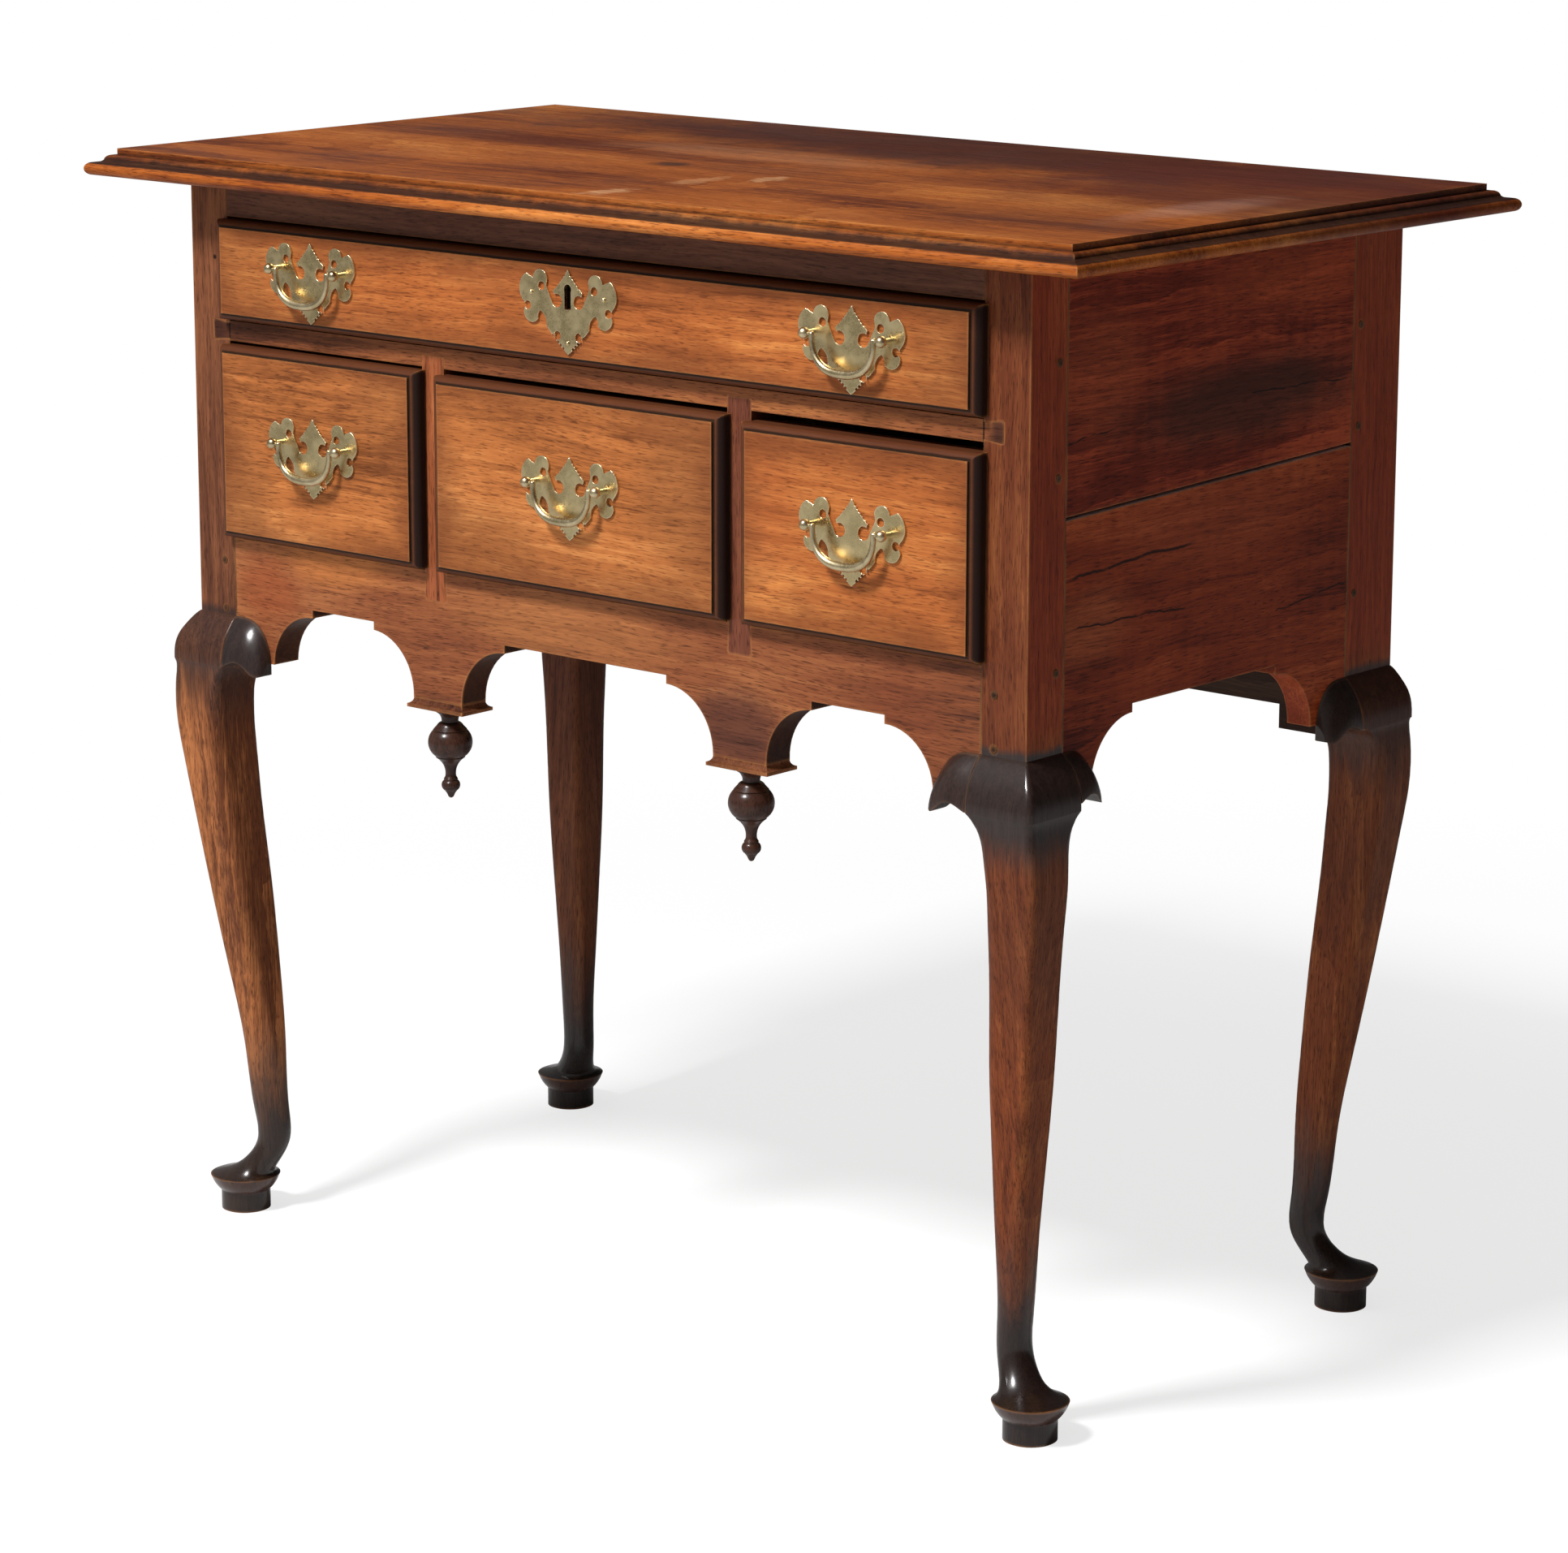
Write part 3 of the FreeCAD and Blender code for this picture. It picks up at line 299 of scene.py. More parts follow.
@dataclass(frozen=True)
class GroupMaker:
    """Shared shader groups, each built once, with the noises and spans that they use."""

    drift: Speckle = Speckle(stretch=(2.5, 9.0, 9.0))
    drift_reach: Triple = (0.0, 0.03, 0.03)
    cloud: Speckle = Speckle(1.0, 3.0, 0.6, (3.0, 11.0, 11.0), share=0.70)
    sweep: Speckle = Speckle(1.0, 1.0, 0.5, (1.8, 3.4, 3.4), (3.1, 0.7, 5.2), 0.50)
    streak: Speckle = Speckle(1.0, 5.0, 0.7, (5.0, 230.0, 230.0), share=0.36)
    fibre: Speckle = Speckle(1.0, 2.0, 0.6, (30.0, 800.0, 800.0), share=0.30)
    pore: Speckle = Speckle(1.0, 1.0, 0.5, (110.0, 1500.0, 1500.0), (7.0, 1.0, 2.0))
    curl: Speckle = Speckle(1.0, 2.0, 0.5, (95.0, 16.0, 16.0), (0.3, 2.0, 4.0))
    pith_move: Triple = (0.0, 0.055, 0.16)
    pith_lean: Triple = (0.0, 0.045, 0.025)
    middle_span: Span = (0.13, 0.36)
    light_span: Span = (0.32, 0.58)
    pore_span: Span = (0.56, 0.68)
    height_share: float = 0.5
    streak_detail: float = 1.3
    pore_detail: float = 0.6
    least_detail: float = 0.25
    wear_speckle: Speckle = Speckle(26.0, 4.0, 0.6, share=0.7)
    wear_span: Span = (0.20, 0.62)
    hollow_speckle: Speckle = Speckle(45.0, 4.0, 0.6, share=0.25)
    hollow_span: Span = (0.12, 0.60)
    rim_speckle: Speckle = Speckle(70.0, 3.0, share=0.8)
    groove_rise: Span = (-0.35, 0.05)
    groove_fall: Span = (0.9, 1.5)
    moulding_span: Span = (0.6, 1.4)
    shade_speckle: Speckle = Speckle(14.0, 5.0, 0.65, (1.0, 1.0, 2.2), share=2.2)
    shade_span: Span = (-1.0, 0.2)
    spot_speckle: Speckle = Speckle(detail=5.0, rough=0.65)
    spot_span: Span = (0.35, 1.05)

    @staticmethod
    def start(name: str, inputs: dict[str, str],
              outputs: dict[str, str]) -> tuple[Wiring, bpy.types.NodeOutputs, bpy.types.NodeInputs]:
        """Makes an empty group with its sockets.

        Args:
            name: Group name.
            inputs: Input name to socket type.
            outputs: Output name to socket type.

        Returns:
            The wiring of the group, the sockets that come into it and those that leave it.
        """
        tree = bpy.data.node_groups.new(name, "ShaderNodeTree")
        for way, sockets in (("INPUT", inputs), ("OUTPUT", outputs)):
            for label, kind in sockets.items():
                tree.interface.new_socket(name=label, in_out=way, socket_type="NodeSocket" + kind)
        source, result = tree.nodes.new("NodeGroupInput"), tree.nodes.new("NodeGroupOutput")
        return Wiring(tree), source.outputs, result.inputs

    def grain(self) -> Tree:
        """Plain-sawn grain with the fibres along X: blotches, growth rings, streaks, curl and pores.

        Returns:
            Group with Color, Height and Detail, the fine streaks alone round a value of one.
        """
        if "wood_grain" in bpy.data.node_groups:
            return bpy.data.node_groups["wood_grain"]
        inputs = {"Vector": "Vector", "Dark": "Color", "Middle": "Color", "Light": "Color",
                  "Ring Scale": "Float", "Ring Strength": "Float", "Curl Strength": "Float",
                  "Pore Strength": "Float"}
        outputs = {"Color": "Color", "Height": "Float", "Detail": "Float"}
        wires, given, result = self.start("wood_grain", inputs, outputs)
        place = given["Vector"]
        drift = wires.noise(place, self.drift).node.outputs["Color"]
        drift = wires.vector("MULTIPLY", wires.vector("SUBTRACT", drift, (0.5, 0.5, 0.5)), self.drift_reach)
        warped = wires.vector("ADD", place, drift)
        streak = wires.noise(warped, self.streak)
        fibre = wires.noise(warped, self.fibre)
        ring_place = wires.stretch(warped, (1.0, 1.0, 1.0), self.pith_move, self.pith_lean)
        ring = wires.add("TexWave", {"Vector": ring_place, "Scale": given["Ring Scale"], "Distortion": 2.5,
                                     "Detail": 3.0, "Detail Scale": 1.2, "Detail Roughness": 0.6},
                         wave_type="RINGS", rings_direction="X", wave_profile="SAW").outputs["Fac"]
        layers = ((wires.noise(place, self.sweep), self.sweep.share), (streak, self.streak.share),
                  (fibre, self.fibre.share), (ring, given["Ring Strength"]),
                  (wires.noise(warped, self.curl), given["Curl Strength"]))
        tone = wires.times(wires.noise(warped, self.cloud), self.cloud.share)
        for value, share in layers:
            tone = wires.math("ADD", tone, wires.centred(value, share))
        low = wires.blend(wires.ramp(tone, *self.middle_span), given["Dark"], given["Middle"])
        both = wires.blend(wires.ramp(tone, *self.light_span), low, given["Light"])
        pore = wires.ramp(wires.noise(warped, self.pore), *self.pore_span)
        dash = wires.times(pore, given["Pore Strength"])
        wires.feed(result["Color"], wires.blend(dash, both, given["Dark"], "MULTIPLY"))
        height = wires.math("SUBTRACT", wires.times(fibre, self.height_share), dash)
        wires.feed(result["Height"], height)
        fine = wires.math("ADD", wires.centred(streak, self.streak_detail), wires.centred(fibre, 1.0))
        fine = wires.math("SUBTRACT", wires.math("ADD", fine, 1.0), wires.times(dash, self.pore_detail))
        wires.feed(result["Detail"], wires.math("MAXIMUM", fine, self.least_detail))
        return wires.tree

    def corner_mask(self, name: str, outward: bool, speckle: Speckle, span: Span) -> Tree:
        """Mask of a shape's edges or of its hollows, broken up by noise.

        Args:
            name: Group name.
            outward: Whether it shows outward edges rather than hollows.
            speckle: Noise that breaks it up.
            span: Closeness at which it starts and is full.

        Returns:
            Group with Mask.
        """
        if name in bpy.data.node_groups:
            return bpy.data.node_groups[name]
        inputs = {"Vector": "Vector", "Reach": "Float", "Amount": "Float"}
        wires, given, result = self.start(name, inputs, {"Mask": "Float"})
        clear = wires.add("AmbientOcclusion", {"Distance": given["Reach"]},
                          inside=outward, only_local=True, samples=6).outputs["AO"]
        patch = wires.sway(given["Vector"], speckle)
        edge = wires.ramp(wires.math("ADD", wires.flip(clear), patch), *span)
        wires.feed(result["Mask"], wires.math("MULTIPLY", edge, given["Amount"], clamp=True))
        return wires.tree

    def arris(self) -> Tree:
        """Mask of outward edges, broken up as rubbed edges are."""
        return self.corner_mask("arris_wear", True, self.wear_speckle, self.wear_span)

    def hollow_shade(self) -> Tree:
        """Mask of inward corners and hollows: painted shade with old wax and dirt on wood, tarnish on metal."""
        return self.corner_mask("hollow_shade_and_grime", False, self.hollow_speckle, self.hollow_span)

    def panel_edge(self) -> Tree:
        """Masks of an upright panel's moulded edge, measured outwards from its flat field in X and Z.

        Returns:
            Group with Groove, at the foot of the field, Moulding, outside it, and Shade, a border inside it.
        """
        if "panel_edge" in bpy.data.node_groups:
            return bpy.data.node_groups["panel_edge"]
        inputs = {"Vector": "Vector", "Middle": "Vector", "Half": "Vector", "Groove Width": "Float",
                  "Shade Width": "Float"}
        outputs = {"Groove": "Float", "Moulding": "Float", "Shade": "Float"}
        wires, given, result = self.start("panel_edge", inputs, outputs)
        away = wires.vector("ABSOLUTE", wires.vector("SUBTRACT", given["Vector"], given["Middle"]))
        past = wires.add("SeparateXYZ", {0: wires.vector("SUBTRACT", away, given["Half"])}).outputs
        out = wires.math("MAXIMUM", past["X"], past["Z"])
        patch = wires.sway(given["Vector"], self.rim_speckle)
        ragged = wires.math("ADD", wires.math("DIVIDE", out, given["Groove Width"]), patch)
        fall = wires.flip(wires.ramp(ragged, *self.groove_fall))
        wires.feed(result["Groove"], wires.times(wires.ramp(ragged, *self.groove_rise), fall))
        wires.feed(result["Moulding"], wires.ramp(ragged, *self.moulding_span))
        cloud = wires.sway(given["Vector"], self.shade_speckle)
        inset = wires.math("ADD", wires.math("DIVIDE", out, given["Shade Width"]), cloud)
        wires.feed(result["Shade"], wires.ramp(inset, *self.shade_span))
        return wires.tree

    def spot(self) -> Tree:
        """Mask of one ragged patch round a point.

        Returns:
            Group with Mask.
        """
        if "ragged_patch" in bpy.data.node_groups:
            return bpy.data.node_groups["ragged_patch"]
        inputs = {"Vector": "Vector", "Middle": "Vector", "Half": "Vector", "Fineness": "Float",
                  "Ragged": "Float"}
        wires, given, result = self.start("ragged_patch", inputs, {"Mask": "Float"})
        shift = wires.vector("SUBTRACT", given["Vector"], given["Middle"])
        far = wires.vector("LENGTH", wires.vector("DIVIDE", shift, given["Half"]))
        patch = wires.noise(given["Vector"], self.spot_speckle, given["Fineness"])
        far = wires.math("ADD", far, wires.centred(patch, given["Ragged"]))
        wires.feed(result["Mask"], wires.flip(wires.ramp(far, *self.spot_span)))
        return wires.tree


GROUPS = GroupMaker()


class Mark(Protocol):
    """Anything that colours part of a board."""

    tone: Color
    polish: float

    def mask(self, wires: Wiring, place: Socket) -> Socket:
        """Adds the mark's mask to a material."""


@dataclass(frozen=True)
class DarkBand:
    """Darker stretch of height: handling and polish on legs, painted shade on the top rail and top's cove."""

    low: float
    high: float
    soft: float
    tone: Color
    strength: float = 0.9
    polish: float = 0.0
    top_soft: float = 0.006
    speckle: Speckle = Speckle(70.0, 6.0, 0.65, (1.0, 1.0, 0.22))

    def mask(self, wires: Wiring, place: Socket) -> Socket:
        """Adds the band's mask to a material.

        Args:
            wires: Wiring of the material.
            place: Object coordinates.

        Returns:
            The mask socket.
        """
        height = wires.add("SeparateXYZ", {0: place}).outputs["Z"]
        patch = wires.noise(place, self.speckle)
        lower = wires.math("ADD", height, wires.centred(patch, self.soft))
        upper = wires.math("ADD", height, wires.centred(patch, self.top_soft))
        rise = wires.ramp(lower, self.low - self.soft, self.low)
        fall = wires.ramp(upper, self.high, self.high + self.top_soft)
        return wires.times(wires.times(rise, wires.flip(fall)), self.strength)


@dataclass(frozen=True)
class ArrisWearAndHighlight(DarkBand):
    """Broad pale corners between two heights, as on the shaft of a leg: rubbed wear and a painted highlight."""

    reach: float = 0.008

    def mask(self, wires: Wiring, place: Socket) -> Socket:
        """Adds the mask of the rubbed and highlit corners to a material."""
        wear_and_highlight = wires.group(GROUPS.arris(), {"Vector": place, "Reach": self.reach, "Amount": 1.0})
        return wires.times(super().mask(wires, place), wear_and_highlight.outputs["Mask"])


@dataclass(frozen=True)
class Patch:
    """A scuff, stain or faded place on a board; on the top, one is a painted reflection."""

    middle: Triple
    half: Triple
    tone: Color
    strength: float = 0.5
    ragged: float = 0.8
    fineness: float = 18.0
    polish: float = 0.0

    def mask(self, wires: Wiring, place: Socket) -> Socket:
        """Adds the patch's mask to a material.

        Args:
            wires: Wiring of the material.
            place: Object coordinates.

        Returns:
            The mask socket.
        """
        spot = wires.group(GROUPS.spot(), {"Vector": place, "Middle": self.middle, "Half": self.half,
                                           "Fineness": self.fineness, "Ragged": self.ragged})
        return wires.times(spot.outputs["Mask"], self.strength)


@dataclass(frozen=True)
class Seam:
    """Dark joint line between two boards, at one place on one axis and above one height."""

    axis: int
    place: float
    above: float = 0.428
    width: float = 0.0010
    core_share: float = 0.4
    tone: Color = (0.010, 0.006, 0.004)
    strength: float = 0.9
    polish: float = 0.0
    speckle: Speckle = Speckle(90.0, 4.0, 0.6)

    def mask(self, wires: Wiring, place: Socket) -> Socket:
        """Adds the joint line's mask to a material.

        Args:
            wires: Wiring of the material.
            place: Object coordinates.

        Returns:
            The mask socket.
        """
        split = wires.add("SeparateXYZ", {0: place}).outputs
        off = wires.math("ABSOLUTE", wires.math("SUBTRACT", split[self.axis], self.place))
        off = wires.math("ADD", off, wires.centred(wires.noise(place, self.speckle), self.width))
        line = wires.flip(wires.ramp(off, self.width * self.core_share, self.width))
        line = wires.times(line, self.strength)
        return wires.times(line, wires.math("GREATER_THAN", split["Z"], self.above))


@dataclass(frozen=True)
class TurnedFaces:
    """Faces turned towards one direction above one height, such as the reveals of the arches."""

    toward: Triple
    low: float
    high: float
    tone: Color
    strength: float = 0.85
    above: float = -1.0
    polish: float = 0.0
    rise: float = 0.03
    speckle: Speckle = Speckle(40.0, 4.0, 0.6, (1.0, 1.0, 0.3), share=0.3)

    def mask(self, wires: Wiring, place: Socket) -> Socket:
        """Adds the mask of the turned faces to a material.

        Args:
            wires: Wiring of the material.
            place: Object coordinates.

        Returns:
            The mask socket.
        """
        facing = wires.vector("DOT_PRODUCT", wires.add("NewGeometry").outputs["Normal"], self.toward)
        facing = wires.math("ADD", facing, wires.sway(place, self.speckle))
        turned = wires.ramp(facing, self.low, self.high)
        height = wires.add("SeparateXYZ", {0: place}).outputs["Z"]
        turned = wires.times(turned, wires.ramp(height, self.above, self.above + self.rise))
        return wires.times(turned, self.strength)


@dataclass(frozen=True)
class PanelEdge:
    """Stained moulding round a drawer front's field; painted shade in its groove and on its right faces."""

    low: Vector
    high: Vector
    side_moulding: float = 0.0065
    head_moulding: float = 0.0046
    groove_width: float = 0.0013
    # Near-black groove: painted shade together with dirt.
    groove_tone: Color = (0.010, 0.006, 0.004)
    groove_strength: float = 0.9
    moulding_tone: Color = (0.050, 0.016, 0.008)
    moulding_strength: float = 0.8
    shade_width: float = 0.028
    shade_tone: Color = (0.105, 0.030, 0.010)
    shade_strength: float = 0.68
    # Painted shade: lip faces turned to +X, away from the light, go near black.
    shade_on_right_faces: TurnedFaces = TurnedFaces((1.0, 0.0, 0.0), 0.20, 0.60, (0.011, 0.006, 0.005), 0.93)

    def paint(self, wires: Wiring, place: Socket, color: Socket) -> Socket:
        """Paints the moulding, its groove and the shade over a colour.

        Args:
            wires: Wiring of the material.
            place: Object coordinates.
            color: Colour so far.

        Returns:
            The painted colour.
        """
        half = (self.high - self.low) / 2 - Vector((self.side_moulding, 0.0, self.head_moulding))
        edge = wires.group(GROUPS.panel_edge(), {
            "Vector": place, "Middle": tuple((self.low + self.high) / 2), "Half": tuple(half),
            "Groove Width": self.groove_width, "Shade Width": self.shade_width}).outputs
        color = wires.blend(wires.times(edge["Shade"], self.shade_strength), color, self.shade_tone)
        color = wires.blend(wires.times(edge["Moulding"], self.moulding_strength), color, self.moulding_tone)
        # Painted shade on the faces turned to +X.
        color = wires.blend(self.shade_on_right_faces.mask(wires, place), color, self.shade_on_right_faces.tone)
        # Painted shade and dirt in the groove.
        return wires.blend(wires.times(edge["Groove"], self.groove_strength), color, self.groove_tone)


@dataclass(frozen=True)
class Crack:
    """Narrow split along a side board, from one end in Y and Z to the other."""

    start: Span
    end: Span
    width: float = 0.0008
    core_share: float = 0.3
    start_soft: float = 0.002
    end_soft: float = 0.02
    tone: Color = (0.008, 0.004, 0.003)
    strength: float = 0.9
    polish: float = 0.0
    bend: Speckle = Speckle(1.0, 4.0, 0.6, (1.0, 24.0, 3.0), share=0.010)
    gap: Speckle = Speckle(stretch=(1.0, 55.0, 6.0))
    gap_span: Span = (0.30, 0.50)

    def mask(self, wires: Wiring, place: Socket) -> Socket:
        """Adds the crack's mask to a material.

        Args:
            wires: Wiring of the material.
            place: Object coordinates.

        Returns:
            The mask socket.
        """
        split = wires.add("SeparateXYZ", {0: place}).outputs
        (near, low), (far, high) = self.start, self.end
        run = wires.span(split["Y"], (near, far), (low, high), clamp=False)
        run = wires.math("ADD", run, wires.sway(place, self.bend))
        off = wires.math("ABSOLUTE", wires.math("SUBTRACT", split["Z"], run))
        line = wires.flip(wires.ramp(off, self.width * self.core_share, self.width))
        line = wires.times(line, wires.ramp(wires.noise(place, self.gap), *self.gap_span))
        begin = wires.ramp(split["Y"], near - self.start_soft, near + self.start_soft)
        finish = wires.flip(wires.ramp(split["Y"], far - self.end_soft, far))
        return wires.times(wires.times(line, wires.times(begin, finish)), self.strength)


def start_material(name: str) -> tuple[bpy.types.Material, Wiring, Node]:
    """Makes a plain node material.

    Args:
        name: Material name.

    Returns:
        The material, its wiring and its Principled BSDF.
    """
    made = bpy.data.materials.new(name)
    made.use_nodes = True
    return made, Wiring(made.node_tree), made.node_tree.nodes["Principled BSDF"]


@dataclass(frozen=True)
class WoodFinish:
    """One kind of wood surface with its tones, grain and wear."""

    name: str
    dark: Color
    middle: Color
    light: Color
    axis: GrainAxis = GrainAxis.ALONG_X
    ring_scale: float = 22.0
    ring_strength: float = 0.08
    curl_strength: float = 0.06
    pore_strength: float = 0.55
    worn: Color = (0.36, 0.145, 0.045)
    wear: float = 0.55
    wear_reach: float = 0.0022
    hollow_amount: float = 0.85
    hollow_reach: float = 0.010
    # Tone of the painted shade and the dirt in hollows.
    grime_and_shade_tone: Color = (0.012, 0.007, 0.005)
    rough: Span = (0.28, 0.50)
    smear: Speckle = Speckle(9.0, 5.0, 0.6)
    smear_span: Span = (0.3, 0.7)
    coat: float = 0.04
    coat_rough: float = 0.22
    gloss: float = 0.07
    bump: float = 0.25
    bump_depth: float = 0.0004
    arris: float = 0.0009

    def material(self, label: str, offset: Triple, edge: PanelEdge | None = None,
                 marks: tuple[Mark, ...] = ()) -> bpy.types.Material:
        """Builds the finish for one board.

        Args:
            label: Name added to the finish's own.
            offset: Move of the grain, so that no two boards match.
            edge: Moulded edge of a drawer front, or None.
            marks: Stains, scuffs and cracks, in order.

        Returns:
            The material.
        """
        made, wires, shader = start_material(self.name + "_" + label)
        place = wires.add("TexCoord").outputs["Object"]
        fibres = wires.stretch(place, (1.0, 1.0, 1.0), offset, self.axis.value)
        grain = wires.group(GROUPS.grain(), {
            "Vector": fibres, "Dark": self.dark, "Middle": self.middle, "Light": self.light,
            "Ring Scale": self.ring_scale, "Ring Strength": self.ring_strength,
            "Curl Strength": self.curl_strength, "Pore Strength": self.pore_strength}).outputs
        color = grain["Color"]
        coat = self.coat
        for mark in marks:
            mask = mark.mask(wires, place)
            color = wires.blend(mask, color, wires.blend(1.0, mark.tone, grain["Detail"], "MULTIPLY"))
            if mark.polish > 0:
                coat = wires.math("MULTIPLY_ADD", mask, mark.polish, coat)
        if edge is not None:
            color = edge.paint(wires, place, color)
        wear = wires.group(GROUPS.arris(), {"Vector": place, "Reach": self.wear_reach, "Amount": self.wear})
        color = wires.blend(wear.outputs["Mask"], color, self.worn)
        # Painted shade in corners and hollows, together with old wax and dirt.
        hollow_shade = wires.group(GROUPS.hollow_shade(), {"Vector": place, "Reach": self.hollow_reach,
                                             "Amount": self.hollow_amount})
        wires.feed(shader.inputs["Base Color"], wires.blend(hollow_shade.outputs["Mask"], color, self.grime_and_shade_tone))
        rough = wires.span(wires.noise(place, self.smear), self.smear_span, self.rough)
        wires.feed(shader.inputs["Roughness"], rough)
        shader.inputs["Specular IOR Level"].default_value = self.gloss
        wires.feed(shader.inputs["Coat Weight"], coat)
        shader.inputs["Coat Roughness"].default_value = self.coat_rough
        soft = wires.add("Bevel", {"Radius": self.arris}, samples=4).outputs["Normal"]
        bump = wires.add("Bump", {"Strength": self.bump, "Distance": self.bump_depth,
                                  "Height": grain["Height"], "Normal": soft})
        wires.feed(shader.inputs["Normal"], bump.outputs["Normal"])
        return made


@dataclass(frozen=True)
class MetalFinish:
    """Old metal with tarnish in its hollows."""

    name: str
    bright: Color
    dull: Color
    tarnish: Color
    polished: Color
    rough: Span
    rub_reach: float = 0.0007
    rub_amount: float = 0.9
    hollow_reach: float = 0.003
    hollow_amount: float = 0.75
    patch: Speckle = Speckle(70.0, 5.0, 0.65, share=0.6)
    fine: Speckle = Speckle(900.0, 3.0, 0.6, share=0.4)
    patch_span: Span = (0.35, 0.65)
    bump: float = 0.06
    bump_depth: float = 0.0003
    arris: float = 0.0004

    def material(self, label: str) -> bpy.types.Material:
        """Builds the finish.

        Args:
            label: Name added to the finish's own.

        Returns:
            The material.
        """
        made, wires, shader = start_material(self.name + "_" + label)
        place = wires.add("TexCoord").outputs["Object"]
        patch = wires.noise(place, self.patch)
        color = wires.blend(wires.ramp(patch, *self.patch_span), self.dull, self.bright)
        hollow_shade = wires.group(GROUPS.hollow_shade(), {"Vector": place, "Reach": self.hollow_reach,
                                             "Amount": self.hollow_amount})
        color = wires.blend(hollow_shade.outputs["Mask"], color, self.tarnish)
        rub = wires.group(GROUPS.arris(), {"Vector": place, "Reach": self.rub_reach,
                                           "Amount": self.rub_amount})
        wires.feed(shader.inputs["Base Color"], wires.blend(rub.outputs["Mask"], color, self.polished))
        shader.inputs["Metallic"].default_value = 1.0
        fine = wires.times(wires.noise(place, self.fine), self.fine.share)
        mixed = wires.math("ADD", wires.times(patch, self.patch.share), fine)
        rough = wires.span(mixed, self.patch_span, self.rough)
        wires.feed(shader.inputs["Roughness"], rough)
        soft = wires.add("Bevel", {"Radius": self.arris}, samples=4).outputs["Normal"]
        bump = wires.add("Bump", {"Strength": self.bump, "Distance": self.bump_depth, "Height": patch,
                                  "Normal": soft})
        wires.feed(shader.inputs["Normal"], bump.outputs["Normal"])
        return made


WALNUT_FRONT = WoodFinish("front_walnut", (0.120, 0.036, 0.010), (0.315, 0.103, 0.027), (0.50, 0.205, 0.062))
RED_FRONT = replace(WALNUT_FRONT, name="red_front_walnut", dark=(0.100, 0.026, 0.007),
                    middle=(0.285, 0.082, 0.020), light=(0.47, 0.178, 0.047))
WALNUT_FRAME = WoodFinish("frame_walnut", (0.050, 0.017, 0.010), (0.158, 0.047, 0.018), (0.265, 0.096, 0.034))
DIVIDER_WALNUT = replace(WALNUT_FRAME, name="divider_walnut", dark=(0.055, 0.018, 0.009),
                         middle=(0.180, 0.057, 0.021), light=(0.33, 0.118, 0.036), wear=0.25)
LIGHT_POST = WoodFinish("light_post_walnut", (0.050, 0.015, 0.007), (0.215, 0.060, 0.022),
                        (0.34, 0.115, 0.040), axis=GrainAxis.ALONG_Z)
DARK_POST = replace(LIGHT_POST, name="dark_post_walnut", middle=(0.105, 0.031, 0.017),
                    light=(0.18, 0.060, 0.028))
WALNUT_LEG = WoodFinish("leg_walnut", (0.050, 0.011, 0.005), (0.150, 0.037, 0.011), (0.30, 0.098, 0.028),
                        axis=GrainAxis.ALONG_Z)
GOLDEN_LEG = replace(WALNUT_LEG, name="golden_leg_walnut", dark=(0.090, 0.027, 0.010),
                     middle=(0.30, 0.104, 0.034), light=(0.50, 0.215, 0.072))
DARK_LEG = replace(WALNUT_LEG, name="dark_leg_walnut", dark=(0.030, 0.009, 0.006),
                   middle=(0.105, 0.034, 0.015), light=(0.20, 0.072, 0.028))
RETURN_WALNUT = replace(WALNUT_LEG, name="return_walnut", wear=0.25, worn=(0.16, 0.075, 0.035))
WALNUT_SIDE = WoodFinish("side_walnut", (0.095, 0.011, 0.004), (0.255, 0.039, 0.012), (0.43, 0.088, 0.025),
                         axis=GrainAxis.ALONG_Y, ring_scale=9.0, ring_strength=0.09, curl_strength=0.12)
LOWER_SIDE = replace(WALNUT_SIDE, name="lower_side_walnut", dark=(0.060, 0.007, 0.003),
                     middle=(0.165, 0.024, 0.006), light=(0.30, 0.060, 0.0155))
WALNUT_TOP = WoodFinish("top_walnut", (0.085, 0.017, 0.005), (0.255, 0.066, 0.011), (0.43, 0.155, 0.036),
                        ring_scale=14.0)
WALNUT_TURNED = WoodFinish("turned_walnut", (0.016, 0.008, 0.006), (0.040, 0.016, 0.010),
                           (0.085, 0.032, 0.017), axis=GrainAxis.ALONG_Z, wear=0.35,
                           worn=(0.16, 0.06, 0.025), rough=(0.24, 0.42), coat=0.4)
OLD_PINE = WoodFinish("old_pine", (0.19, 0.105, 0.045), (0.36, 0.225, 0.11), (0.47, 0.32, 0.17),
                      ring_scale=18.0, ring_strength=0.10, pore_strength=0.15, worn=(0.42, 0.28, 0.14),
                      wear=0.3, hollow_amount=0.5, rough=(0.62, 0.80), coat=0.0)
# Painted shade: the back board, seen only inside under the case, is painted near black.
SHADE_DARK_PINE = replace(OLD_PINE, name="shade_dark_pine", dark=(0.012, 0.007, 0.006), middle=(0.026, 0.014, 0.011),
                    light=(0.050, 0.028, 0.018), worn=(0.08, 0.045, 0.025))
PEG_WOOD = WoodFinish("peg_wood", (0.016, 0.008, 0.005), (0.032, 0.014, 0.008), (0.06, 0.025, 0.013),
                      wear=0.2)
BRASS = MetalFinish("old_brass", (0.74, 0.60, 0.33), (0.57, 0.45, 0.23), (0.050, 0.034, 0.014),
                    (1.0, 0.88, 0.60), (0.20, 0.40), 0.0011)
ROD_BRASS = replace(BRASS, name="rod_brass", bright=(0.66, 0.55, 0.34), dull=(0.46, 0.37, 0.21),
                    polished=(0.80, 0.68, 0.43), rub_reach=0.0003)
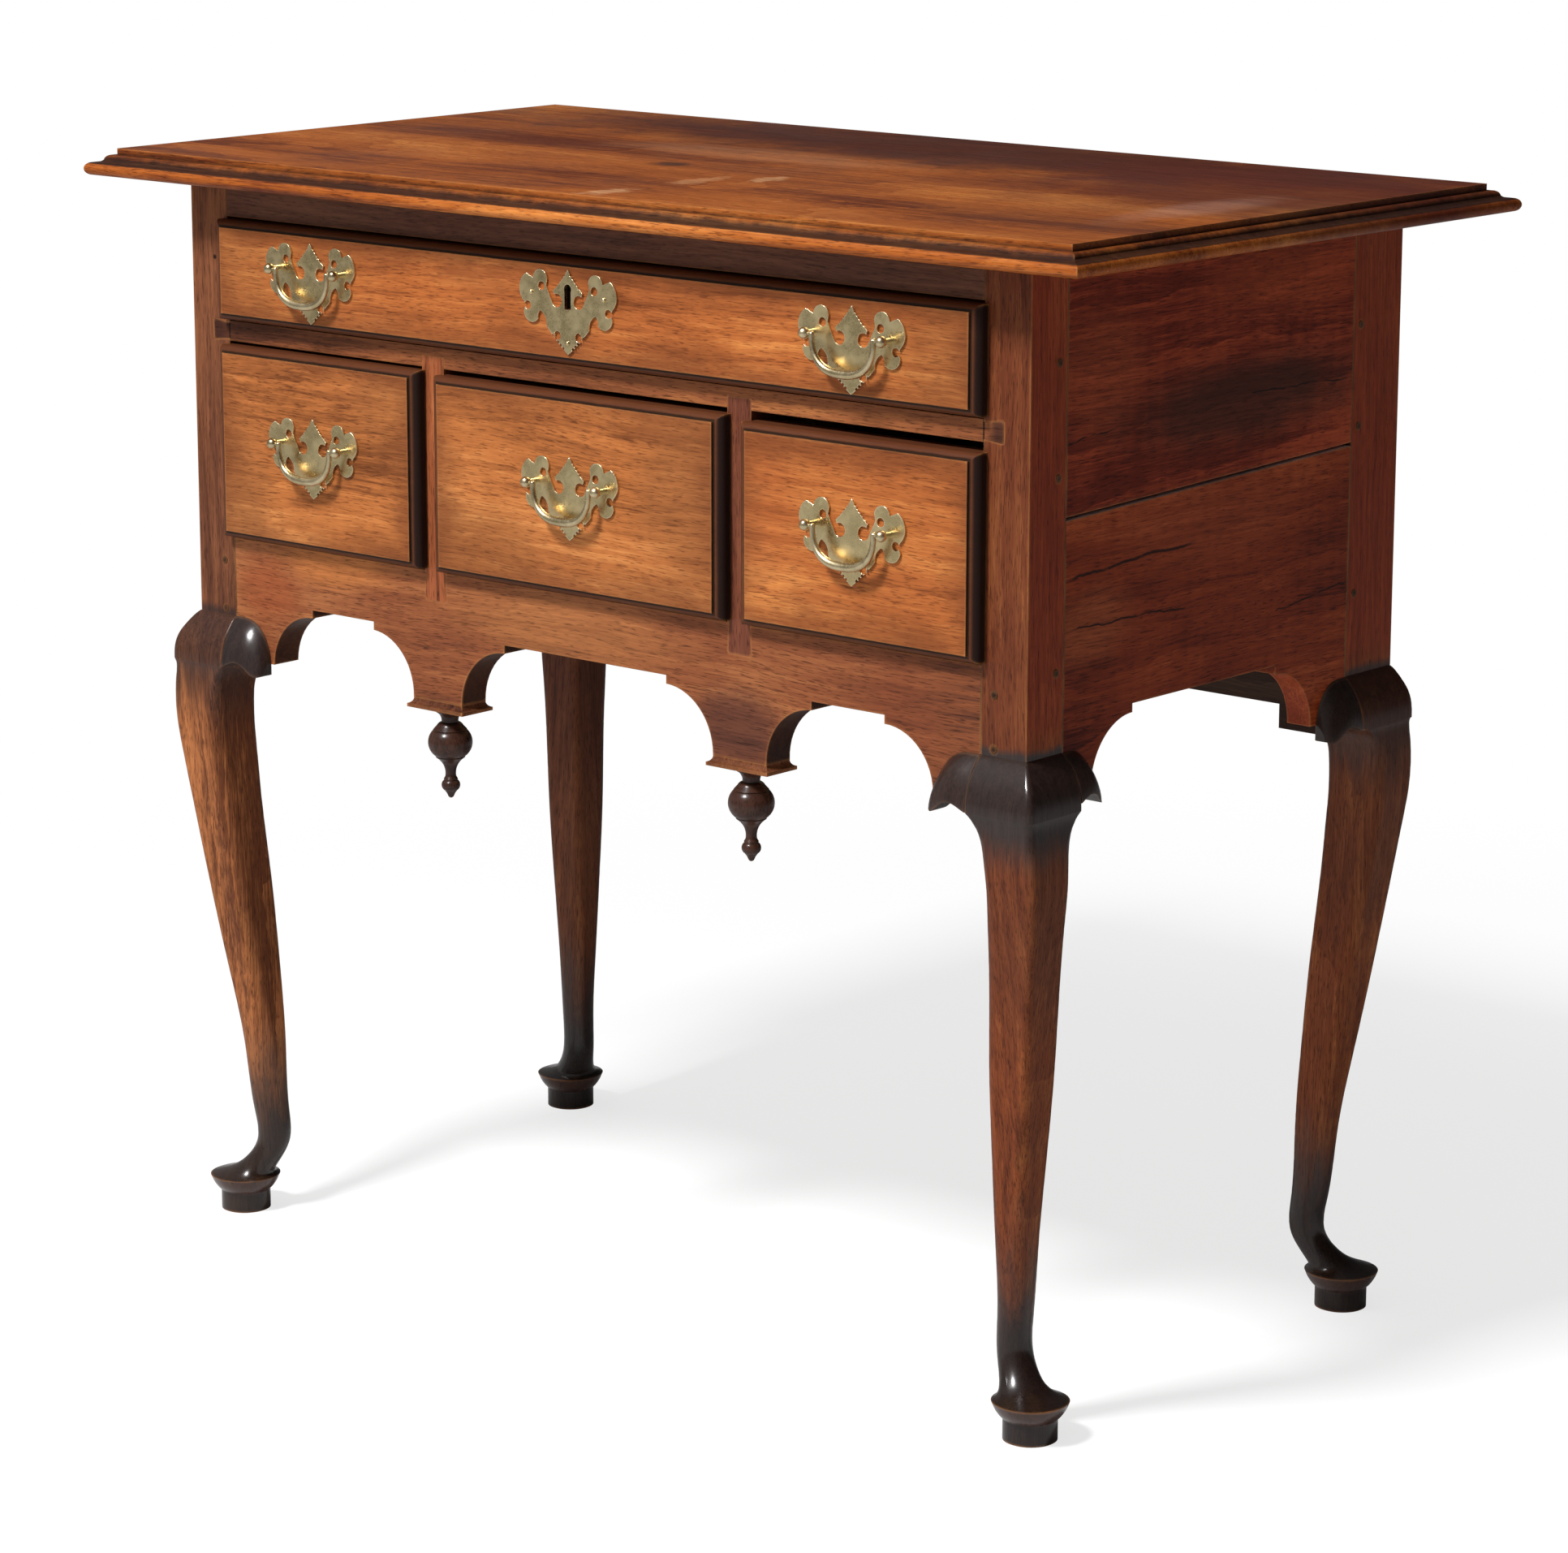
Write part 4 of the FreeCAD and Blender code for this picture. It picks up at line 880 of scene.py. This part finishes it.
IRON = MetalFinish("old_iron", (0.12, 0.11, 0.10), (0.07, 0.065, 0.06), (0.02, 0.015, 0.012),
                   (0.16, 0.15, 0.14), (0.45, 0.65))


def give(node: bpy.types.Object, material: bpy.types.Material) -> None:
    """Puts one material on every slot of an object.

    Args:
        node: Object to dress.
        material: Material to show.
    """
    if not node.material_slots:
        node.data.materials.append(material)
    for slot in node.material_slots:
        slot.material = material
    LOG.info("dressed %s in %s", node.name, material.name)


def grain_move(step: Triple, count: int) -> Triple:
    """Move of the grain for one of several like boards."""
    return tuple(count * value for value in step)


def settle(shape: bmesh.types.BMesh, name: str) -> bpy.types.Object:
    """Turns a finished shape into an object of the scene.

    Args:
        shape: Shape to use up.
        name: Name of the object and its mesh.

    Returns:
        The new object.
    """
    mesh = bpy.data.meshes.new(name)
    shape.to_mesh(mesh)
    shape.free()
    made = bpy.data.objects.new(name, mesh)
    bpy.context.scene.collection.objects.link(made)
    return made


@dataclass
class CasePieces:
    """Fixed pieces of the case: top, legs, boards, rails, drops and runners."""

    nodes: dict[str, bpy.types.Object]
    leg_step: Triple = (0.37, 0.11, 0.05)
    knee: DarkBand = DarkBand(0.388, 0.428, 0.030, BLACKENED, 0.95, 0.7)
    brown_knee: DarkBand = DarkBand(0.400, 0.428, 0.060, (0.030, 0.013, 0.009), 0.88, 0.4)
    under_knee: DarkBand = DarkBand(0.300, 0.380, 0.070, (0.060, 0.018, 0.009), 0.5, top_soft=0.07)
    foot: DarkBand = DarkBand(-0.05, 0.050, 0.045, (0.006, 0.0045, 0.004), 0.95, 0.85, 0.11)
    pad: DarkBand = DarkBand(0.0150, 0.0235, 0.003, (0.050, 0.015, 0.007), 0.65, 0.4, 0.0015)
    # Painted highlight along the shaft's corners, with rubbed wear.
    shaft: ArrisWearAndHighlight = ArrisWearAndHighlight(0.08, 0.365, 0.05, (0.42, 0.175, 0.045), 0.75, top_soft=0.05)
    dark_front: TurnedFaces = TurnedFaces((0.0, -1.0, 0.0), 0.4, 0.9, (0.030, 0.010, 0.008), 0.40, 0.40)
    brown_front: TurnedFaces = TurnedFaces((0.0, -1.0, 0.0), 0.4, 0.9, (0.085, 0.030, 0.016), 0.75, 0.40)
    red_left: TurnedFaces = TurnedFaces((-1.0, 0.0, 0.0), 0.4, 0.9, (0.180, 0.023, 0.008), 0.7, 0.42)
    red_right: TurnedFaces = TurnedFaces((1.0, 0.0, 0.0), 0.4, 0.9, (0.180, 0.023, 0.008), 0.7, 0.42)
    side_marks: tuple[Patch, ...] = (
        Patch((0.0, 0.02, 0.618), (WIDE, 0.17, 0.035), (0.040, 0.012, 0.007), 0.8),
        Patch((0.0, 0.06, 0.690), (WIDE, 0.10, 0.03), (0.250, 0.042, 0.012), 0.5),
        Patch((0.0, -0.12, 0.650), (WIDE, 0.05, 0.05), (0.220, 0.042, 0.014), 0.5),
        Patch((0.0, 0.00, 0.545), (WIDE, 0.12, 0.03), (0.210, 0.040, 0.013), 0.5),
        Patch((0.0, -0.13, 0.500), (WIDE, 0.05, 0.03), (0.250, 0.062, 0.020), 0.5),
    )
    top_marks: tuple[Patch, ...] = (
        Patch((0.05, 0.16, 0.737), (0.55, 0.13, WIDE), (0.045, 0.010, 0.006), 0.92),
        Patch((0.33, 0.09, 0.737), (0.24, 0.20, WIDE), (0.070, 0.012, 0.006), 0.85),
        Patch((0.30, -0.12, 0.737), (0.14, 0.05, WIDE), (0.11, 0.032, 0.011), 0.4),
        Patch((-0.05, 0.04, 0.737), (0.16, 0.04, WIDE), (0.34, 0.14, 0.06), 0.35),
        # Painted reflection: a pale sheen near the right edge of the top.
        Patch((0.35, -0.02, 0.737), (0.03, 0.10, WIDE), (0.36, 0.20, 0.15), 0.25),
        Patch((0.021, -0.187, 0.737), (0.013, 0.026, WIDE), (0.50, 0.29, 0.15), 0.40, 2.2, 80.0),
        Patch((0.022, -0.105, 0.737), (0.012, 0.034, WIDE), (0.46, 0.24, 0.11), 0.34, 2.4, 80.0),
        Patch((0.050, -0.067, 0.737), (0.010, 0.020, WIDE), (0.52, 0.30, 0.15), 0.4, 2.4, 80.0),
        Patch((-0.058, -0.041, 0.737), (0.018, 0.016, WIDE), (0.035, 0.014, 0.008), 0.8, 1.0, 50.0),
    )
    apron_marks: tuple[Patch, ...] = (
        Patch((-0.02, -0.19, 0.458), (0.13, WIDE, 0.030), (0.270, 0.100, 0.032), 0.6),
        Patch((-0.23, -0.19, 0.475), (0.07, WIDE, 0.022), (0.330, 0.110, 0.028), 0.6),
        Patch((-0.29, -0.19, 0.450), (0.04, WIDE, 0.030), (0.170, 0.036, 0.011), 0.6),
        Patch((0.13, -0.19, 0.412), (0.05, WIDE, 0.035), (0.060, 0.022, 0.015), 0.75),
        Patch((0.26, -0.19, 0.440), (0.05, WIDE, 0.045), (0.110, 0.028, 0.012), 0.5),
    )
    upper_cracks: tuple[Crack, ...] = (Crack((-0.154, 0.611), (-0.10, 0.615)),
                                       Crack((0.030, 0.621), (0.14, 0.619)))
    lower_cracks: tuple[Crack, ...] = (Crack((-0.154, 0.529), (-0.02, 0.537), 0.0014),
                                       Crack((0.06, 0.481), (0.15, 0.490)),
                                       Crack((-0.154, 0.499), (-0.02, 0.497), 0.0009))
    nail: Patch = Patch((-0.334, -0.189, 0.668), (0.0022, WIDE, 0.0022), (0.012, 0.007, 0.005), 1.0, 0.2)
    # Painted shadow of the top's overhang on the top rail, with dark stain.
    rail_shade: DarkBand = DarkBand(0.69, 0.80, 0.004, (0.070, 0.032, 0.022), 0.75)
    divider_ends: tuple[Patch, ...] = tuple(
        Patch((side * 0.336, 0.0, 0.62), (0.015, WIDE, WIDE), (0.034, 0.012, 0.008), 0.9, 0.1)
        for side in (-1.0, 1.0))
    # Painted shade with grime in the cove of the top's moulded edge.
    top_cove_shade_and_grime: DarkBand = DarkBand(0.7276, 0.7292, 0.0006, (0.016, 0.008, 0.006), 0.9)
    front_seam: tuple[Seam, ...] = (Seam(0, -0.321), Seam(0, 0.321))
    side_seam: tuple[Seam, ...] = (Seam(1, -0.154), Seam(1, 0.1375))
    # Painted shade: apron faces turned away from the front, such as the arch reveals, go near black.
    shaded_reveal: TurnedFaces = TurnedFaces((0.0, 1.0, 0.0), -0.85, -0.35, (0.020, 0.009, 0.006))
    # Pale upward faces in the gap above the lower side boards: dust together with painted light.
    dust_and_painted_light: TurnedFaces = TurnedFaces((0.0, 0.0, 1.0), 0.6, 0.9, (0.80, 0.74, 0.70), 0.95)

    def dress_top(self) -> None:
        """Gives the top its finish."""
        marks = self.top_marks + (self.top_cove_shade_and_grime,)
        give(self.nodes["top_board"], WALNUT_TOP.material("board", (0.31, 0.07, 0.02), marks=marks))

    def dress_legs(self) -> None:
        """Gives each leg and the knee returns their finish, dark at knee and foot."""
        legs = {"front_left_leg": (GOLDEN_LEG, (self.brown_front, self.red_left, self.brown_knee, self.nail)),
                "front_right_leg": (WALNUT_LEG, (self.under_knee, self.dark_front, self.red_right,
                                                 self.knee)),
                "rear_left_leg": (DARK_LEG, (self.under_knee, self.red_left, self.knee)),
                "rear_right_leg": (WALNUT_LEG, (self.under_knee, self.red_right, self.brown_knee))}
        for index, (name, (finish, own)) in enumerate(legs.items()):
            offset = grain_move(self.leg_step, index)
            seams = self.side_seam + (self.front_seam if name.startswith("front") else ())
            marks = (self.shaft,) + own + (self.foot, self.pad) + seams
            give(self.nodes[name], finish.material(name, offset, marks=marks))
        for name in ("front_knee_blocks", "rear_knee_blocks"):
            give(self.nodes[name], RETURN_WALNUT.material(name, (0.5, 0.3, 0.1), marks=(self.knee,)))

    def dress_boards(self) -> None:
        """Gives the sides, the back and the front frame their finishes."""
        boards = {"upper": (WALNUT_SIDE, self.upper_cracks, ()),
                  "lower": (LOWER_SIDE, self.lower_cracks, (self.dust_and_painted_light,))}
        for index, side in enumerate(("left", "right")):
            for row, (board, (finish, own, upper_faces)) in enumerate(boards.items()):
                name = f"{side}_side_{board}_board"
                offset = (0.2 * row, 0.5 * index, 0.3 * row)
                marks = self.side_marks + own + self.side_seam
                give(self.nodes[name], finish.material(name, offset, marks=marks + upper_faces))
        frame = {"top_rail": (WALNUT_FRAME, (self.rail_shade,)),
                 "drawer_divider": (DIVIDER_WALNUT, self.divider_ends),
                 "front_apron": (WALNUT_FRAME, self.apron_marks + (self.shaded_reveal,))}
        for index, (name, (finish, marks)) in enumerate(frame.items()):
            offset = (0.4 * index, 0.2 * index, 0.1)
            give(self.nodes[name], finish.material(name, offset, marks=marks + self.front_seam))
        give(self.nodes["left_partition"], LIGHT_POST.material("left", (0.0, 0.3, 0.2)))
        give(self.nodes["right_partition"], DARK_POST.material("right", (0.6, 0.3, 0.2)))
        # The back board, painted near black as shade.
        give(self.nodes["back_board"], SHADE_DARK_PINE.material("back", (0.1, 0.4, 0.0)))

    def dress_trim(self) -> None:
        """Gives the drops, their pads, the runners and the pegs their finishes."""
        for index, name in enumerate(("left_drop", "right_drop")):
            give(self.nodes[name], WALNUT_TURNED.material(name, (0.3 * index, 0.1, 0.0)))
        give(self.nodes["drop_plinths"], DARK_LEG.material("plinths", (0.7, 0.2, 0.0)))
        for index, name in enumerate(("upper_runners", "lower_runners", "center_runners")):
            give(self.nodes[name], OLD_PINE.material(name, (0.2 * index, 0.1, 0.3)))
        give(self.nodes["frame_pegs"], PEG_WOOD.material("pegs", (0.0, 0.0, 0.0)))

    def dress(self) -> None:
        """Dresses the whole case."""
        self.dress_top()
        self.dress_legs()
        self.dress_boards()
        self.dress_trim()


STAIN: Color = (0.155, 0.054, 0.017)
DRAWER_LOOKS: dict[str, tuple[WoodFinish, Triple, tuple[Patch, ...]]] = {
    "long_drawer": (RED_FRONT, (0.0, 0.1, 0.0), (
        Patch((0.31, -0.2, 0.662), (0.05, WIDE, 0.05), STAIN, 0.5),
        Patch((-0.30, -0.2, 0.662), (0.05, WIDE, 0.06), STAIN, 0.5))),
    "left_drawer": (WALNUT_FRONT, (0.45, 0.25, 0.03), (
        Patch((-0.31, -0.2, 0.500), (0.05, WIDE, 0.10), STAIN, 0.6),
        Patch((-0.16, -0.2, 0.590), (0.05, WIDE, 0.06), STAIN, 0.4))),
    "center_drawer": (WALNUT_FRONT, (0.9, 0.40, 0.06), (
        Patch((0.10, -0.2, 0.560), (0.06, WIDE, 0.08), STAIN, 0.55),
        Patch((-0.08, -0.2, 0.500), (0.08, WIDE, 0.04), STAIN, 0.5))),
    "right_drawer": (RED_FRONT, (1.35, 0.55, 0.02), (
        Patch((0.16, -0.2, 0.560), (0.04, WIDE, 0.06), (0.25, 0.065, 0.016), 0.6),)),
}


@dataclass
class DrawerPieces:
    """One drawer: its boards and its brasses."""

    nodes: dict[str, bpy.types.Object]
    name: str
    offset: Triple
    finish: WoodFinish
    marks: tuple[Patch, ...]

    def dress(self) -> None:
        """Gives the front its figured wood with a dark rim, and the box its plain wood."""
        node = self.name + "_front"
        front = self.finish.material(node, self.offset, edge=PanelEdge(*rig.box(node)), marks=self.marks)
        give(self.nodes[node], front)
        box_wood = OLD_PINE.material(self.name + "_box", grain_move(self.offset, 2))
        for board in ("left_side", "right_side", "back", "bottom"):
            give(self.nodes[f"{self.name}_{board}"], box_wood)


@dataclass
class Brasses:
    """Plates, posts and bails, with the plates' rims filed to a bevel."""

    nodes: dict[str, bpy.types.Object]
    homes: dict[str, str]
    bevel: float = 0.0008
    merge: float = 0.000002
    front: Triple = (0.0, -1.0, 0.0)
    face_cosine: float = 0.9
    side_cosine: float = 0.3

    def bevelled_plate(self, node: str) -> bpy.types.Object:
        """Copies a plate and bevels its front rim, as far as the short edges of its nicks let it.

        Args:
            node: Plate's node.

        Returns:
            The new piece.
        """
        shape = bmesh.new()
        shape.from_mesh(self.nodes[node].data)
        bmesh.ops.remove_doubles(shape, verts=shape.verts, dist=self.merge)
        rim = [edge for edge in shape.edges if self.is_rim(edge)]
        bmesh.ops.bevel(shape, geom=rim, offset=self.bevel, offset_type="OFFSET", segments=2, profile=0.5,
                        affect="EDGES", material=-1, clamp_overlap=True)
        return settle(shape, node + "_filed")

    def is_rim(self, edge: bmesh.types.BMEdge) -> bool:
        """Whether an edge lies between a plate's face and its side."""
        facing = [face.normal.dot(Vector(self.front)) for face in edge.link_faces]
        return len(facing) == 2 and max(facing) > self.face_cosine and abs(min(facing)) < self.side_cosine

    def build(self) -> None:
        """Makes the plates and dresses the other brasses and the iron lock."""
        brass = BRASS.material("plates")
        rod = ROD_BRASS.material("fittings")
        for name in list(self.nodes):
            if name.endswith(("_plate", "_plates")) or name == "escutcheon":
                piece = self.bevelled_plate(name)
                give(piece, brass)
                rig.replaces(piece, name)
                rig.ride(piece, self.homes[name])
                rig.slot(piece, "brass")
                LOG.info("built %s", piece.name)
            elif name.endswith(("_posts", "_bail")):
                give(self.nodes[name], rod)
        iron = IRON.material("lock")
        for name in ("lock_case", "lock_bolt"):
            give(self.nodes[name], iron)


@dataclass
class Studio:
    """Floor, light and camera."""

    floor_size: float = 30.0
    floor_shade: float = 0.27
    floor_gloss: float = 0.45
    fade_start: float = 0.62
    fade_end: float = 1.55
    floor_tone: Color = (0.90, 0.90, 0.905)
    fill_side: Triple = (-0.65, -0.75, 0.12)
    fill_span: Span = (-0.6, 1.0)
    fill_low: float = 0.05
    fill_high: float = 0.75
    gloss_dim: float = 0.55
    key_place: Triple = (-0.31, -2.22, 3.19)
    key_aim: Triple = (0.0, 0.0, 0.35)
    key_size: float = 0.55
    key_power: float = 190.0
    eye: Triple = (2.107, -2.423, 1.072)
    yaw: float = math.radians(40.96)
    pitch: float = math.radians(12.98)
    roll: float = math.radians(0.07)
    focal_pixels: float = 6110.0
    photo_width: float = 1932.0
    sensor: float = 36.0

    def lay_floor(self) -> None:
        """Lays a pale floor that keeps the shadow and meets the background in white."""
        shape = bmesh.new()
        bmesh.ops.create_grid(shape, x_segments=1, y_segments=1, size=self.floor_size)
        floor = settle(shape, "floor")
        made, wires, shader = start_material("pale_floor")
        made.node_tree.nodes.remove(shader)
        path = wires.add("LightPath").outputs
        pale = wires.blend(path["Is Glossy Ray"], self.floor_tone, (self.floor_gloss,) * 3)
        paint = wires.add("BsdfDiffuse", {"Color": pale})
        glow = wires.add("Emission", {"Color": WHITE, "Strength": 1.0})
        away = wires.vector("LENGTH", wires.add("TexCoord").outputs["Object"])
        share = wires.span(away, (self.fade_start, self.fade_end), (1.0 - self.floor_shade, 1.0),
                           interpolation_type="SMOOTHSTEP")
        seen = wires.times(path["Is Camera Ray"], share)
        mixed = wires.add("MixShader", {0: seen, 1: paint.outputs[0], 2: glow.outputs[0]})
        wires.feed(made.node_tree.nodes["Material Output"].inputs["Surface"], mixed.outputs[0])
        floor.data.materials.append(made)
        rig.stage(floor)

    def light_world(self) -> None:
        """Fills softly, most from the front left, and shows white to the camera."""
        world = bpy.data.worlds.new("studio")
        bpy.context.scene.world = world
        world.use_nodes = True
        wires = Wiring(world.node_tree)
        back = world.node_tree.nodes["Background"]
        wires.feed(back.inputs["Color"], WHITE)
        path = wires.add("LightPath").outputs
        facing = wires.vector("DOT_PRODUCT", wires.add("TexCoord").outputs["Generated"], self.fill_side)
        fill = wires.span(facing, self.fill_span, (self.fill_low, self.fill_high),
                          interpolation_type="SMOOTHSTEP")
        seen = wires.math("MAXIMUM", path["Is Camera Ray"], path["Is Transmission Ray"])
        dimmed = wires.flip(wires.times(path["Is Glossy Ray"], self.gloss_dim))
        wires.feed(back.inputs["Strength"], wires.math("MAXIMUM", seen, wires.times(fill, dimmed)))

    def hang_key(self) -> None:
        """Hangs the main lamp high in front of the case."""
        lamp = bpy.data.lights.new("key", "AREA")
        lamp.energy = self.key_power
        lamp.size = self.key_size
        key = bpy.data.objects.new("key", lamp)
        place = Vector(self.key_place)
        turn = (Vector(self.key_aim) - place).to_track_quat("-Z", "Y")
        key.matrix_world = Matrix.Translation(place) @ turn.to_matrix().to_4x4()
        bpy.context.scene.collection.objects.link(key)

    def set_camera(self) -> None:
        """Sets the camera at the photograph's viewing angle."""
        lens = bpy.data.cameras.new("camera")
        lens.sensor_fit = "HORIZONTAL"
        lens.sensor_width = self.sensor
        lens.lens = self.focal_pixels / self.photo_width * self.sensor
        camera = bpy.data.objects.new("camera", lens)
        level = math.cos(self.pitch)
        ahead = Vector((-math.sin(self.yaw) * level, math.cos(self.yaw) * level, -math.sin(self.pitch)))
        turn = ahead.to_track_quat("-Z", "Y").to_matrix().to_4x4() @ Matrix.Rotation(self.roll, 4, "Z")
        camera.matrix_world = Matrix.Translation(Vector(self.eye)) @ turn
        bpy.context.scene.collection.objects.link(camera)
        bpy.context.scene.camera = camera

    def build(self) -> None:
        """Builds the whole studio."""
        bpy.context.scene.view_settings.view_transform = "Standard"
        self.lay_floor()
        self.light_world()
        self.hang_key()
        self.set_camera()


@dataclass
class SizeNote:
    """Writes the frame's box and the dressed model's box side by side."""

    frame_box: tuple[Vector, Vector]
    path: str = "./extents.json"

    def write(self) -> None:
        """Writes both boxes as plain lists."""
        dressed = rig.bounds()
        note = {"cad": [list(corner) for corner in self.frame_box],
                "visual": [list(corner) for corner in dressed]}
        with open(self.path, "w", encoding="utf-8") as target:
            json.dump(note, target)


def main() -> None:
    """Loads the frame and dresses every piece."""
    logging.basicConfig(level=logging.INFO, format="%(name)s: %(message)s")
    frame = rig.load()
    size_note = SizeNote(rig.bounds())
    nodes = frame["nodes"]
    CasePieces(nodes).dress()
    for name, (finish, offset, marks) in DRAWER_LOOKS.items():
        DrawerPieces(nodes, name, offset, finish, marks).dress()
    members = frame["record"]["behaviour"]["bodies"]
    Brasses(nodes, {node: body for body, group in members.items() for node in group}).build()
    Studio().build()
    size_note.write()


if __name__ == "__main__":
    main()
